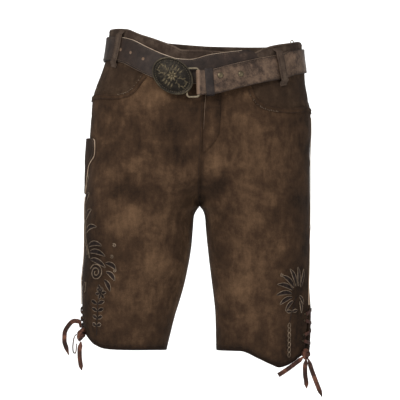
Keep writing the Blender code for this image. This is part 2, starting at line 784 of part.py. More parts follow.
# Each loose end by its points from the knot's centre, and which way its flat side faces.
LACE_ENDS = (
    (
        "lace_right_bend", "right", "front",
        ((-3, -2, 22), (-12, -3, 24), (-24, -1, 14), (-30, 1, 1), (-30.5, 2, -12), (-27, 3, -25), (-22.8, 3, -37)),
    ),
    (
        "lace_right_loop", "right", "side",
        ((-9.5, 0, -1), (-14, 1, -10), (-15.5, 2, -24), (-14.2, 2, -33), (-11.2, 2, -34), (-9.4, 2, -26), (-9, 2, -17)),
    ),
    (
        "lace_right_end", "right", "front",
        ((-1.5, -1, -18), (-3.2, -1, -28), (-3, -1, -40), (-1.5, 0, -53), (0.4, 0, -64)),
    ),
    (
        "lace_left_strap", "left", "front",
        ((-9, -5, -8), (-18, -9, -14), (-28, -13, -21), (-39, -17, -28), (-50, -20, -34.5)),
    ),
    (
        "lace_left_mid", "left", "front",
        ((-0.5, -5, -13), (-2, -6, -22), (-1.8, -6, -35), (0, -5, -47), (1, -4, -60)),
    ),
    (
        "lace_left_end", "left", "front",
        ((5.5, 1, -12), (9, 1, -24), (14, 2, -38), (21, 3, -56), (29, 4, -76)),
    ),
)


def knot_frame(side):
    """The knot's centre, its three directions and half its size along each."""
    u, z, half, lean, gap = KNOTS[side]
    lean = np.radians(lean)
    across = np.array([np.cos(lean), 0, -np.sin(lean)])
    up = np.array([np.sin(lean), 0, np.cos(lean)])
    centre = skin(side, u, z, half[0] + gap)
    return centre, np.array([across, [0, 1.0, 0], up]), np.array(half)


def lace_ends():
    for name, side, facing, points in LACE_ENDS:
        middle, axes, half = knot_frame(side)
        leaving = unit(np.array(points[0], float))
        start = leaving * (1 / np.linalg.norm(axes @ leaving / half) + 0.75)
        centre = middle + through((start,) + points, 16)
        along = np.gradient(centre, axis=0)
        front = np.tile([0, -1.0, 0], (16, 1))
        across = np.cross(along, front) if facing == "front" else front
        wide = np.full(16, LACE_WIDTH / 2)
        wide[:3] = (1.6, 2.2, 3.2)
        if facing == "side":
            wide[-3:] = (3.6, 2.8, 2.0)
        elif name != "lace_left_strap":
            wide[-3:] = (3.4, 2.4, 1.0)
        ribbon(name, centre, across, wide, LACE_THICK, "lace_leather")


def knots():
    turn = np.linspace(0, 2 * np.pi, 14, endpoint=False)
    for side in KNOTS:
        middle, (across, deep, up), half = knot_frame(side)
        circle = np.outer(np.cos(turn) * half[0], across) + np.outer(np.sin(turn) * half[1], deep)
        rings = []
        for t in np.radians(np.linspace(-80, 80, 9)):
            wrap = 1 - 0.05 * np.exp(-((t / 0.4) ** 2))
            rings.append(middle + circle * np.cos(t) * wrap + up * half[2] * np.sin(t))
        rings_solid("knot_" + side, rings, "lace_leather")


def main():
    for thing in list(bpy.data.objects):
        bpy.data.objects.remove(thing)
    for side in ("right", "left"):
        panel("front_" + side, side, "front")
        panel("back_" + side, side, "back")
        hip_piece("hip_" + side, side)
        pocket_band("pocket_band_" + side, side)
    fly_flap()
    knife_pocket()
    waistband()
    belt()
    keeper()
    buckle_ring()
    buckle_plate()
    buckle_hook()
    rivets()
    belt_loops()
    waist_ring()
    side_welts()
    lacing()
    lace_ends()
    knots()


main()
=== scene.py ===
import bmesh
import bpy
import mathutils
import numpy as np
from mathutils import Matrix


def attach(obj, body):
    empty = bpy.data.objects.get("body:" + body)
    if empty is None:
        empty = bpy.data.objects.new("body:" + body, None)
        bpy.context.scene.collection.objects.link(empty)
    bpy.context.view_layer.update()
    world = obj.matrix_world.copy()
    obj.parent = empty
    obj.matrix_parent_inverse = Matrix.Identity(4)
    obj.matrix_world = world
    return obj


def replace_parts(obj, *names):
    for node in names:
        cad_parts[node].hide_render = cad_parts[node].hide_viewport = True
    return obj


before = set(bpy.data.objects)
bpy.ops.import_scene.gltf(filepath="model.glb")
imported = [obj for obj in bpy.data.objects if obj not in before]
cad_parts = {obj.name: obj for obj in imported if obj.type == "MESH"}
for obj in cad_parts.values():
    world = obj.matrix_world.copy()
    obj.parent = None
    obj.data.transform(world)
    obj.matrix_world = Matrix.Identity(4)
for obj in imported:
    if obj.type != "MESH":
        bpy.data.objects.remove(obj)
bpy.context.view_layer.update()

# Points are worked out in millimetres, in the frame of the solids.
# X goes to the wearer's left, Y to the back and Z up.
MM = 0.001
WALL = 2.0
SEAM_GAP = 0.3
LAY_GAP = 0.5
SAMPLES = 96
SIGN = {"right": -1, "left": 1}
SIDES = ("right", "left")


def look_from_the_front():
    data = bpy.data.cameras.new("camera")
    data.lens = 115
    data.sensor_width = 36
    data.clip_end = 40
    camera = bpy.data.objects.new("camera", data)
    camera.location = (-0.0054, -2.3, -0.2934)
    camera.rotation_euler = (np.radians(90), 0, 0)
    bpy.context.scene.collection.objects.link(camera)
    bpy.context.scene.camera = camera


look_from_the_front()


class Table:
    """Rows of named columns, read at any value of the first column along a smooth line."""

    def __init__(self, columns, *rows):
        self.names = columns
        self.values = np.array(sorted(rows), float).T

    def read(self, name, at):
        return smooth_line(self.values[0], self.values[self.names.index(name)], at)


def smooth_line(xs, ys, x):
    """A curve through the points that never overshoots them."""
    x = np.clip(x, xs[0], xs[-1])
    step = np.diff(xs)
    rise = np.diff(ys) / step
    same = rise[:-1] * rise[1:] > 0
    total = np.where(same, rise[:-1] + rise[1:], 1)
    inner = np.where(same, 2 * rise[:-1] * rise[1:] / total, 0)
    slope = np.concatenate([rise[:1], inner, rise[-1:]])
    i = np.clip(np.searchsorted(xs, x, side="right") - 1, 0, len(xs) - 2)
    t = (x - xs[i]) / step[i]
    low = ys[i] * (1 + 2 * t) * (1 - t) ** 2 + slope[i] * step[i] * t * (1 - t) ** 2
    high = ys[i + 1] * t * t * (3 - 2 * t) + slope[i + 1] * step[i] * t * t * (t - 1)
    return low + high


def ease(t):
    t = np.clip(t, 0, 1)
    return t * t * (3 - 2 * t)


# The body of the garment: how far each side, the front and the back reach at a height.
OUTLINE = Table(
    ("z", "right", "left", "front", "back", "power"),
    (30, -166, 174, 101, 100, 2.3),
    (0, -169, 176, 104, 106, 2.3),
    (-45, -175.5, 180, 106, 112, 2.3),
    (-60, -180, 182, 107, 114, 2.3),
    (-80, -187.5, 183, 108, 118, 2.3),
    (-105, -197, 187, 110, 123, 2.35),
    (-131, -199.5, 192.5, 111, 128, 2.35),
    (-167, -202, 193, 112, 132, 2.35),
    (-225, -206, 191, 110, 130, 2.3),
    (-268, -209, 191, 106, 122, 2.25),
    (-304, -212, 191, 102, 112, 2.2),
    (-384, -212.5, 191, 90, 96, 2.2),
    (-441, -217, 191, 78, 83, 2.2),
    (-499, -216.5, 194, 67, 71, 2.2),
    (-530, -214, 193.5, 62, 66, 2.2),
    (-560, -207, 192, 59, 62, 2.2),
    (-610, -200, 190, 56, 58, 2.2),
)
CENTRE_SEAM = Table(
    ("z", "x"), (30, 5), (-60, 5), (-103, 4), (-160, 1), (-225, -2), (-268, -5), (-304, -6)
)
# Where each leg's inner side is, and how far the leather is drawn off it under the crotch.
INSEAM = Table(
    ("z", "right", "left", "right_pull", "left_pull"),
    (-304, -6, -6, 0, 0),
    (-311, -7, -5, 5, 5),
    (-322, -9, -3, 7.5, 6.5),
    (-345, -13.5, 2, 5, 3.5),
    (-384, -21, 8.5, 1.2, 0.8),
    (-412, -27, 12.6, 0, 0),
    (-441, -33, 16.2, 0, 0),
    (-470, -41, 19.8, 0, 0),
    (-499, -50, 22.5, 0, 0),
    (-530, -58, 23.4, 0, 0),
    (-560, -65, 23.8, 0, 0),
    (-610, -72, 24, 0, 0),
)
# Each side seam turns to the front towards the knee, and each leg has its own depth there.
SIDE_TURN = Table(
    ("z", "right", "left"), (-120, 0, 0), (-304, 2, 8), (-441, 5, 18), (-499, 7, 24), (-610, 9, 30)
)
LEG_DEPTH = Table(("z", "right", "left"), (-304, 1, 1), (-560, 1.12, 0.92))
CROTCH_Z = -304.0
RISE = {"front": 105.0, "back": 145.0}

# Soft ridges (height over 0) and troughs. A place is u, the share of the way from the side seam to the
# centre seam or inseam (under 0 in front, over 0 behind), and z.
FOLDS = {
    "right": (
        ((-0.93, -285), (-0.55, -252), 13, -3.2),
        ((-0.90, -262), (-0.62, -222), 12, 2.4),
        ((-0.86, -330), (-0.45, -318), 14, -2.6),
        ((-0.70, -180), (-0.42, -150), 16, -2.0),
        ((-0.30, -300), (-0.12, -360), 15, 1.8),
        ((-0.80, -455), (-0.42, -438), 13, -2.4),
        ((-0.42, -478), (-0.16, -500), 12, -2.2),
        ((-0.72, -505), (-0.50, -540), 13, 1.8),
        ((0.92, -268), (0.50, -330), 15, -3.4),
        ((0.78, -250), (0.40, -285), 16, 2.4),
        ((0.85, -440), (0.35, -462), 14, -3.0),
        ((0.30, -150), (0.60, -215), 18, -2.2),
        ((0.70, -480), (0.42, -500), 13, 2.2),
    ),
    "left": (
        ((-0.93, -282), (-0.58, -246), 13, -3.0),
        ((-0.88, -330), (-0.50, -322), 14, -2.4),
        ((-0.60, -170), (-0.40, -205), 16, 1.8),
        ((-0.35, -250), (-0.15, -290), 15, -2.0),
        ((-0.75, -420), (-0.40, -432), 13, -2.2),
        ((-0.78, -500), (-0.45, -488), 13, -2.4),
        ((-0.60, -540), (-0.42, -575), 12, 2.2),
        ((0.92, -262), (0.52, -322), 15, -3.2),
        ((0.80, -244), (0.42, -272), 16, 2.2),
        ((0.82, -452), (0.38, -446), 14, -3.0),
        ((0.28, -165), (0.58, -230), 18, -2.2),
        ((0.60, -505), (0.30, -522), 13, 2.0),
    ),
}
GIRTH = 270.0


def section(side, face, z):
    """The level line of one half of a face, from the side seam to the centre seam or inseam."""
    sign = SIGN[side]
    above = z - CROTCH_Z
    out = OUTLINE.read(side, z)
    middle = np.where(above > 0, CENTRE_SEAM.read("x", z), INSEAM.read(side, z))
    merge = 1 - ease(above / RISE[face])
    half = abs(out - middle) / (1 + merge)
    centre = middle + sign * merge * half
    power = OUTLINE.read("power", z)
    start = np.radians(SIDE_TURN.read(side, z))
    end = np.arccos(-(merge ** (power / 2))) * (1 if face == "front" else -1)
    turn = start[:, None] + (end - start)[:, None] * np.linspace(0, 1, SAMPLES)
    across, deep = np.cos(turn), np.sin(turn)
    bend = (2 / power)[:, None]
    depth = LEG_DEPTH.read(side, z)
    front = (OUTLINE.read("front", z) * depth)[:, None]
    back = (OUTLINE.read("back", z) * depth)[:, None]
    pull = np.where(above > 0, 0, INSEAM.read(side + "_pull", z))[:, None] * ((1 - across) / 2) ** 4
    x = centre[:, None] + sign * (half[:, None] * np.sign(across) * abs(across) ** bend + pull)
    y = np.where(turn > 0, -front, back) * abs(deep) ** bend
    return np.stack([x, y], axis=2)


def run_of(line):
    steps = np.linalg.norm(np.diff(line, axis=1), axis=2).cumsum(axis=1)
    return np.concatenate([np.zeros((len(line), 1)), steps], axis=1)


def half_girth(side, face, z):
    z = np.atleast_1d(np.asarray(z, float))
    return run_of(section(side, face, z))[:, -1]


def on_face(side, face, z, share):
    line = section(side, face, z)
    run = run_of(line)
    wanted = share * run[:, -1]
    i = np.clip((run < wanted[:, None]).sum(axis=1) - 1, 0, SAMPLES - 2)
    n = np.arange(len(z))
    t = ((wanted - run[n, i]) / np.maximum(run[n, i + 1] - run[n, i], 1e-9))[:, None]
    return np.column_stack([line[n, i] * (1 - t) + line[n, i + 1] * t, z])


def plain_skin(side, u, z):
    share = np.clip(abs(u), 0, 1)
    points = np.empty((len(u), 3))
    for face, chosen in (("front", u < 0), ("back", u >= 0)):
        if chosen.any():
            points[chosen] = on_face(side, face, z[chosen], share[chosen])
    return points


def unit(v):
    return v / np.linalg.norm(v, axis=-1, keepdims=True)


def square_to(along, v):
    """The direction of v with its part along the other one taken off."""
    return unit(v - (v @ along) * along)


def bell(x, width):
    """1 in the middle, and near 0 from twice the width on."""
    return np.exp(-((x / width) ** 2))


def run_along(points):
    return np.concatenate([[0], np.linalg.norm(np.diff(points, axis=0), axis=1).cumsum()])


def full_turn(count):
    return np.linspace(0, 2 * np.pi, count, endpoint=False)


def circle(turn, right, up):
    return np.outer(np.cos(turn), right) + np.outer(np.sin(turn), up)


def outward(side, u, z):
    """The direction out of the skin. At a centre seam it is that of its own half."""
    low, high = np.clip(u - 0.004, -1, 1), np.clip(u + 0.004, -1, 1)
    along = plain_skin(side, high, z) - plain_skin(side, low, z)
    up = plain_skin(side, u, z + 1) - plain_skin(side, u, z - 1)
    return unit(np.cross(along, up)) * SIGN[side]


def ridge(start, end, width, rise, u, z):
    """The height at each place of one ridge, or trough, along the line from start to end."""
    place = np.column_stack([u * GIRTH, z])
    a = np.array([start[0] * GIRTH, start[1]])
    b = np.array([end[0] * GIRTH, end[1]])
    t = np.clip((place - a) @ (b - a) / ((b - a) @ (b - a)), 0, 1)
    away = np.linalg.norm(place - a - t[:, None] * (b - a), axis=1)
    return rise * bell(away, width)


def fold_height(side, u, z):
    height = np.zeros_like(z)
    for fold in FOLDS[side]:
        height += ridge(*fold, u, z)
    return height


# Finer creases than the solids', given as the folds are.
CREASES = {
    "right": (
        ((-0.97, -296), (-0.72, -286), 5, -1.0),
        ((-0.96, -288), (-0.66, -262), 5.5, 0.8),
        ((-0.97, -310), (-0.7, -318), 5, -0.9),
        ((-0.95, -240), (-0.8, -214), 6, -0.8),
        ((-0.62, -196), (-0.3, -182), 7, -0.7),
        ((-0.5, -238), (-0.2, -246), 8, 0.7),
        ((-0.34, -330), (-0.1, -318), 6, -0.8),
        ((-0.66, -372), (-0.4, -384), 7, -0.7),
        ((-0.9, -420), (-0.6, -410), 6, 0.7),
        ((-0.78, -472), (-0.52, -462), 6, -0.9),
        ((-0.5, -452), (-0.24, -440), 6, 0.8),
        ((-0.9, -520), (-0.66, -528), 6, -0.7),
        ((0.96, -296), (0.66, -318), 6, -1.1),
        ((0.97, -310), (0.6, -350), 6, 0.9),
        ((0.7, -120), (0.4, -140), 8, -0.8),
        ((0.9, -200), (0.64, -240), 7, -0.8),
        ((0.84, -430), (0.5, -424), 6, -1.1),
        ((0.8, -455), (0.44, -474), 6, 1.0),
        ((0.5, -395), (0.2, -380), 7, -0.8),
        ((0.6, -520), (0.3, -512), 6, -0.8),
    ),
    "left": (
        ((-0.97, -298), (-0.7, -280), 5, -1.0),
        ((-0.96, -270), (-0.74, -250), 5.5, 0.7),
        ((-0.97, -312), (-0.66, -326), 5, -0.9),
        ((-0.86, -190), (-0.62, -176), 7, -0.6),
        ((-0.54, -238), (-0.22, -252), 7, -0.8),
        ((-0.44, -214), (-0.18, -196), 8, 0.6),
        ((-0.7, -356), (-0.42, -366), 7, 0.7),
        ((-0.9, -398), (-0.64, -388), 6, -0.8),
        ((-0.56, -452), (-0.32, -462), 6, -0.8),
        ((-0.84, -470), (-0.56, -462), 6, 0.7),
        ((-0.9, -536), (-0.62, -526), 6, -0.8),
        ((0.96, -294), (0.68, -312), 6, -1.1),
        ((0.97, -306), (0.62, -342), 6, 0.9),
        ((0.66, -130), (0.36, -124), 8, -0.7),
        ((0.88, -214), (0.6, -230), 7, -0.9),
        ((0.82, -436), (0.46, -444), 6, -1.0),
        ((0.78, -466), (0.4, -456), 6, 0.9),
        ((0.52, -386), (0.24, -398), 7, -0.8),
        ((0.62, -524), (0.3, -530), 6, -0.7),
    ),
}


SMALL_CREASE_COUNT = 64


def small_creases():
    """Short shallow marks of wear all over each half."""
    chance = np.random.default_rng(5)
    found = {}
    for side in SIDES:
        rows = []
        for _ in range(SMALL_CREASE_COUNT):
            u, z = chance.uniform(-0.98, 0.98), chance.uniform(-540, -90)
            angle, length = chance.normal(0, 0.5), chance.uniform(12, 34)
            end = (u + np.cos(angle) * length / GIRTH, z + np.sin(angle) * length)
            width, rise = chance.uniform(3.2, 6.5), chance.choice([-1, 1]) * chance.uniform(0.25, 0.7)
            rows.append(((u, z), end, width, rise))
        found[side] = rows
    return found


SMALL_CREASES = small_creases()


def crease_height(side, u, z):
    height = np.zeros_like(z)
    for start, end, width, rise in (*CREASES[side], *SMALL_CREASES[side]):
        (u0, z0), (u1, z1) = start, end
        near = (abs(z - (z0 + z1) / 2) < abs(z0 - z1) / 2 + 2.5 * width) & (u * (u0 + u1) >= 0)
        if near.any():
            height[near] += ridge(start, end, width, rise, u[near], z[near])
    return height


def skin_frame(side, u, z):
    """Points of the garment's outer face and the directions out of it. The arguments may be grids."""
    u, z = np.broadcast_arrays(np.asarray(u, float), np.asarray(z, float))
    flat_u, flat_z = u.ravel(), z.ravel()
    out = outward(side, flat_u, flat_z)
    rise = fold_height(side, flat_u, flat_z) + crease_height(side, flat_u, flat_z)
    points = plain_skin(side, flat_u, flat_z) + out * rise[:, None]
    return points.reshape(u.shape + (3,)), out.reshape(u.shape + (3,))


def skin(side, u, z, lift=0.0):
    points, out = skin_frame(side, u, z)
    return points + out * np.broadcast_to(lift, out.shape[:-1])[..., None]


# Waistband: its top edge round the body, which sinks in front.
BAND_HEIGHT = 48.0
WAIST_TOP = Table(
    ("angle", "z"),
    (-180, -4), (-135, 4), (-90, 11), (-72, 9), (-58, 5.5), (-46, -5.6), (-36, -14), (-28, -21.5),
    (-21, -28.6), (-16, -35), (0, -36.5), (20, -39), (32, -39.7), (37, -34.4), (46, -25.9),
    (63, -17.8), (76, -13), (90, -12.6), (135, -8), (180, -4),
)
POCKET_EDGE = {
    "right": Table(
        ("share", "z"),
        (0, -113), (0.067, -109.5), (0.176, -106), (0.37, -109.5), (0.454, -106.5), (0.504, -97.5),
        (0.529, -85.5), (0.555, -75), (0.575, -62),
    ),
    "left": Table(
        ("share", "z"),
        (0, -134), (0.168, -128.5), (0.37, -133.5), (0.521, -130.5), (0.597, -124.5), (0.639, -114),
        (0.664, -100.5), (0.69, -88),
    ),
}
HEM = {
    "right": Table(
        ("u", "z"),
        (-1, -563), (-0.65, -557), (-0.31, -555), (-0.176, -548), (-0.1, -538), (0, -528),
        (0.12, -540), (0.3, -555), (0.65, -558), (1, -563),
    ),
    "left": Table(
        ("u", "z"),
        (-1, -563), (-0.65, -560), (-0.47, -573), (-0.36, -583), (-0.28, -588.5), (-0.2, -585),
        (-0.08, -573), (0, -567), (0.3, -564), (0.65, -561), (1, -563),
    ),
}
SLIT_TOP = -482.0
SLIT_GAP = 7.0


def waist_seam(side, u):
    """Where the panel meets the waistband."""
    angle = SIGN[side] * 90 * (1 + np.asarray(u))
    return WAIST_TOP.read("z", angle) - BAND_HEIGHT


def waist_frame(angle, z):
    """As skin_frame, by the angle from the front centre: 90 is the left side seam and -90 the right one."""
    angle, z = np.broadcast_arrays(np.asarray(angle, float), np.asarray(z, float))
    angle = (angle + 180) % 360 - 180
    points, out = np.empty(angle.shape + (3,)), np.empty(angle.shape + (3,))
    for side, chosen in (("right", angle < 0), ("left", angle >= 0)):
        if chosen.any():
            points[chosen], out[chosen] = skin_frame(side, abs(angle[chosen]) / 90 - 1, z[chosen])
    return points, out


def waist(angle, z, lift=0.0):
    points, out = waist_frame(angle, z)
    return points + out * np.broadcast_to(lift, out.shape[:-1])[..., None]


# Lights, floor and materials


def area_light(name, place, target, size, power, colour=(1, 1, 1)):
    data = bpy.data.lights.new(name, "AREA")
    data.shape = "DISK"
    data.size = size
    data.energy = power
    data.color = colour
    light = bpy.data.objects.new(name, data)
    light.location = place
    aim = np.array(target) - np.array(place)
    light.rotation_euler = mathutils.Vector(aim).to_track_quat("-Z", "Y").to_euler()
    bpy.context.scene.collection.objects.link(light)


def studio():
    area_light("key", (-1.2, -2.4, 1.3), (0, 0, -0.3), 1.3, 76)
    area_light("fill", (2.3, -2.2, -0.1), (0, 0, -0.35), 1.6, 20)
    area_light("wall", (0, 2.6, 2.2), (0, 4.6, 0.2), 2.5, 90)
    area_light("back_fill", (0.6, 2.6, 1.0), (0, 0, -0.3), 1.8, 40)
    world = bpy.data.worlds.new("studio")
    bpy.context.scene.world = world
    world.use_nodes = True
    background = world.node_tree.nodes["Background"]
    background.inputs["Color"].default_value = (1, 1, 1, 1)
    background.inputs["Strength"].default_value = 0.72
    bpy.context.scene.view_settings.view_transform = "Standard"


def sweep():
    """One pale sheet: a floor under the hanging garment that turns up into a back wall."""
    turn = np.radians(np.linspace(-90, 0, 25))
    profile = [(-7.0, -1.08), (0.0, -1.08)]
    profile += [(3.6 + 1.6 * np.cos(t), 0.52 + 1.6 * np.sin(t)) for t in turn]
    profile += [(5.2, 3.2)]
    points = np.array([(x, y, z) for y, z in profile for x in (-8.0, 8.0)]) / MM
    steps = np.arange(len(profile) - 1)
    faces = np.column_stack([2 * steps, 2 * steps + 1, 2 * steps + 3, 2 * steps + 2])
    pale = Shader("pale_floor", 0.95).base((0.9, 0.9, 0.9))
    floor = add_piece("floor_sweep", points, faces, pale, body=None)


class Shader:
    """A material on the standard surface, whose nodes are added one by one."""

    def __init__(self, name, roughness, **fixed):
        self.material = bpy.data.materials.new(name)
        self.material.use_nodes = True
        self.tree = self.material.node_tree
        self.surface = self.tree.nodes["Principled BSDF"]
        self.surface.inputs["Roughness"].default_value = roughness
        for name, value in fixed.items():
            self.surface.inputs[name.replace("_", " ")].default_value = value
        self.place = self.tree.nodes.new("ShaderNodeTexCoord").outputs["Object"]

    def node(self, kind, **settings):
        made = self.tree.nodes.new(kind)
        for name, value in settings.items():
            setattr(made, name, value)
        return made

    def feed(self, socket, value):
        if isinstance(value, bpy.types.NodeSocket):
            self.tree.links.new(value, socket)
        else:
            socket.default_value = value

    def base(self, colour):
        colour = colour if isinstance(colour, bpy.types.NodeSocket) else (*colour, 1)
        self.feed(self.surface.inputs["Base Color"], colour)
        return self

    def noise(self, scale, detail=4.0, rough=0.55, stretch=None, distortion=0.0):
        made = self.node("ShaderNodeTexNoise")
        place = self.place
        if stretch:
            turned = self.node("ShaderNodeMapping")
            turned.inputs["Scale"].default_value = stretch
            self.feed(turned.inputs["Vector"], place)
            place = turned.outputs["Vector"]
        self.feed(made.inputs["Vector"], place)
        settings = {"Scale": scale, "Detail": detail, "Roughness": rough, "Distortion": distortion}
        for name, value in settings.items():
            made.inputs[name].default_value = value
        return made.outputs["Fac"]

    def cells(self, scale):
        made = self.node("ShaderNodeTexVoronoi", feature="F1")
        self.feed(made.inputs["Vector"], self.place)
        made.inputs["Scale"].default_value = scale
        return made.outputs["Distance"]

    def tone(self):
        return self.node("ShaderNodeAttribute", attribute_name="tone").outputs["Fac"]

    def math(self, what, a, b=0.0, c=0.0):
        made = self.node("ShaderNodeMath", operation=what)
        for socket, value in zip(made.inputs, (a, b, c)):
            self.feed(socket, value)
        return made.outputs[0]

    def total(self, start, *parts):
        """start plus each part's (value - 0.5) times its share."""
        for value, share in parts:
            start = self.math("ADD", start, self.math("MULTIPLY", self.math("SUBTRACT", value, 0.5), share))
        return start

    def ramp(self, value, *stops):
        made = self.node("ShaderNodeValToRGB")
        self.feed(made.inputs["Fac"], value)
        line = made.color_ramp.elements
        while len(line) < len(stops):
            line.new(0.5)
        for stop, (at, colour) in zip(line, stops):
            stop.position = at
            stop.color = (*colour, 1)
        return made.outputs["Color"]

    def bump(self, height, strength, distance):
        made = self.node("ShaderNodeBump")
        made.inputs["Strength"].default_value = strength
        made.inputs["Distance"].default_value = distance
        self.feed(made.inputs["Height"], height)
        self.feed(self.surface.inputs["Normal"], made.outputs["Normal"])
        return self


def suede(name, dark, mid, light):
    """Nubuck with clouds of darker and lighter nap, and the mesh's own tone: stains and wear, and in places
    painted shade and painted highlights.
    """
    s = Shader(name, 0.93, Sheen_Weight=0.04, Sheen_Roughness=0.45, Sheen_Tint=(0.55, 0.42, 0.33, 1))
    s.surface.inputs["Specular IOR Level"].default_value = 0.06
    clouds = s.noise(19, 5, 0.62, distortion=0.4)
    mottle = s.noise(75, 6, 0.72)
    streaks = s.noise(120, 4, 0.6, stretch=(1, 1, 0.28))
    nap = s.noise(1100, 3, 0.6)
    start = s.math("MULTIPLY_ADD", s.tone(), 0.5, 0.5)
    level = s.total(start, (clouds, 0.95), (mottle, 0.6), (streaks, 0.4), (nap, 0.45))
    s.base(s.ramp(level, (0.1, dark), (0.47, mid), (0.9, light)))
    pits = s.cells(420)
    grain = s.total(s.math("MULTIPLY", pits, 0.4), (nap, 0.8), (mottle, 0.9), (s.noise(320, 3, 0.6), 0.9))
    return s.bump(grain, 0.55, 0.0007)


def smooth_leather(name, dark, mid, light, roughness=0.55, scale=60):
    s = Shader(name, roughness)
    s.surface.inputs["Specular IOR Level"].default_value = 0.14
    worn = s.noise(scale, 6, 0.7)
    pores = s.cells(900)
    level = s.total(s.math("MULTIPLY_ADD", s.tone(), 0.5, 0.5), (worn, 1.1), (s.noise(700, 3, 0.6), 0.4))
    s.base(s.ramp(level, (0.12, dark), (0.5, mid), (0.9, light)))
    s.feed(s.surface.inputs["Roughness"], s.math("MULTIPLY_ADD", worn, -0.25, roughness + 0.14))
    creases = s.noise(260, 5, 0.65)
    return s.bump(s.total(s.math("MULTIPLY", pores, 0.35), (creases, 1.0)), 0.4, 0.0005)


def thread(name, dark, light):
    s = Shader(name, 0.8)
    s.surface.inputs["Specular IOR Level"].default_value = 0.08
    level = s.total(0.5, (s.noise(160, 4, 0.6), 1.4), (s.noise(30, 3, 0.5), 0.8))
    s.base(s.ramp(level, (0.25, dark), (0.8, light)))
    return s.bump(s.noise(2200, 2, 0.5), 0.35, 0.0002)


def old_metal(name, dark, bright):
    """Metal that is dark in its hollows and rubbed bright on what stands out, by the mesh's tone."""
    roughness = 0.42
    s = Shader(name, roughness, Metallic=0.9)
    start = s.math("MULTIPLY_ADD", s.tone(), 0.5, 0.45)
    level = s.total(start, (s.noise(240, 5, 0.65), 0.9), (s.noise(50, 3, 0.5), 0.5))
    s.base(s.ramp(level, (0.15, dark), (0.85, bright)))
    s.feed(s.surface.inputs["Roughness"], s.math("MULTIPLY_ADD", level, -0.25, roughness + 0.18))
    return s.bump(s.noise(900, 4, 0.6), 0.25, 0.0003)


MATERIALS = {
    "suede": suede("suede_nubuck", (0.0105, 0.0062, 0.004), (0.0345, 0.019, 0.0105), (0.098, 0.056, 0.03)),
    "hip": suede("suede_hip", (0.009, 0.0056, 0.004), (0.0275, 0.0162, 0.0097), (0.072, 0.045, 0.027)),
    "band": suede("suede_band", (0.010, 0.007, 0.0055), (0.0315, 0.0210, 0.0155), (0.090, 0.064, 0.047)),
    "dark": suede("suede_dark", (0.008, 0.006, 0.005), (0.022, 0.0145, 0.0105), (0.070, 0.050, 0.036)),
    # Pale suede of raw edges, piping and welts; on the fly's and belt's edge lines it is also a painted
    # highlight.
    "edge": suede("suede_raw_edge_and_highlight", (0.120, 0.080, 0.055), (0.300, 0.215, 0.150), (0.520, 0.420, 0.320)),
    "belt": smooth_leather(
        "belt_old", (0.008, 0.005, 0.004), (0.025, 0.015, 0.0105), (0.135, 0.086, 0.056)
    ),
    "keeper": smooth_leather(
        "keeper_old", (0.005, 0.004, 0.0035), (0.014, 0.0095, 0.008), (0.045, 0.032, 0.026)
    ),
    "lace": smooth_leather(
        "lace_old", (0.010, 0.005, 0.004), (0.040, 0.0150, 0.0095), (0.165, 0.066, 0.039), 0.6, 130
    ),
    "thread": thread("thread_brown", (0.040, 0.026, 0.017), (0.105, 0.074, 0.050)),
    "dark_thread": thread("thread_dark", (0.009, 0.0062, 0.0052), (0.032, 0.0215, 0.0175)),
    "light_thread": thread("thread_light", (0.085, 0.060, 0.040), (0.240, 0.180, 0.125)),
    "brass": old_metal("brass_aged", (0.011, 0.009, 0.007), (0.105, 0.083, 0.050)),
    "relief": old_metal("brass_relief", (0.030, 0.024, 0.017), (0.240, 0.195, 0.130)),
    "steel": old_metal("metal_dark", (0.025, 0.021, 0.020), (0.230, 0.205, 0.185)),
}


# Meshes


def add_piece(name, points, faces, material, tone=None, body="root", sharp=48):
    """A mesh piece. `material` is a name in MATERIALS, which also gives its slot, or a Shader."""
    mesh = bpy.data.meshes.new(name)
    faces = faces.tolist() if hasattr(faces, "tolist") else faces
    mesh.from_pydata((np.asarray(points) * MM).tolist(), [], faces)
    shape = bmesh.new()
    shape.from_mesh(mesh)
    bmesh.ops.recalc_face_normals(shape, faces=shape.faces)
    shape.to_mesh(mesh)
    shape.free()
    mesh.shade_smooth()
    mesh.set_sharp_from_angle(angle=np.radians(sharp))
    values = mesh.attributes.new("tone", "FLOAT", "POINT")
    if tone is not None:
        values.data.foreach_set("value", np.asarray(tone, np.float32).ravel())
    shader = material if isinstance(material, Shader) else MATERIALS[material]
    mesh.materials.append(shader.material)
    piece = bpy.data.objects.new(name, mesh)
    bpy.context.scene.collection.objects.link(piece)
    if body:
        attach(piece, body)
    return piece


def grid_faces(rows, columns, start=0, flip=False):
    index = np.arange(rows * columns).reshape(rows, columns) + start
    corners = (index[:-1, :-1], index[:-1, 1:], index[1:, 1:], index[1:, :-1])
    faces = np.stack(corners, axis=-1).reshape(-1, 4)
    return faces[:, ::-1] if flip else faces


def slab_mesh(outer, inner):
    """Points and faces of a closed shell between two grids."""
    rows, columns = outer.shape[:2]
    count = rows * columns
    index = np.arange(count).reshape(rows, columns)
    border = np.concatenate([index[0, :-1], index[:-1, -1], index[-1, :0:-1], index[:0:-1, 0]])
    after = np.roll(border, -1)
    rim = np.column_stack([border, border + count, after + count, after])
    faces = np.concatenate([grid_faces(rows, columns), grid_faces(rows, columns, count, True), rim])
    return np.concatenate([outer.reshape(-1, 3), inner.reshape(-1, 3)]), faces


def shell(name, outer, inner, material, tone=0.0):
    points, faces = slab_mesh(outer, inner)
    tone = np.broadcast_to(tone, outer.shape[:2]).ravel()
    return add_piece(name, points, faces, material, np.concatenate([tone, tone]))


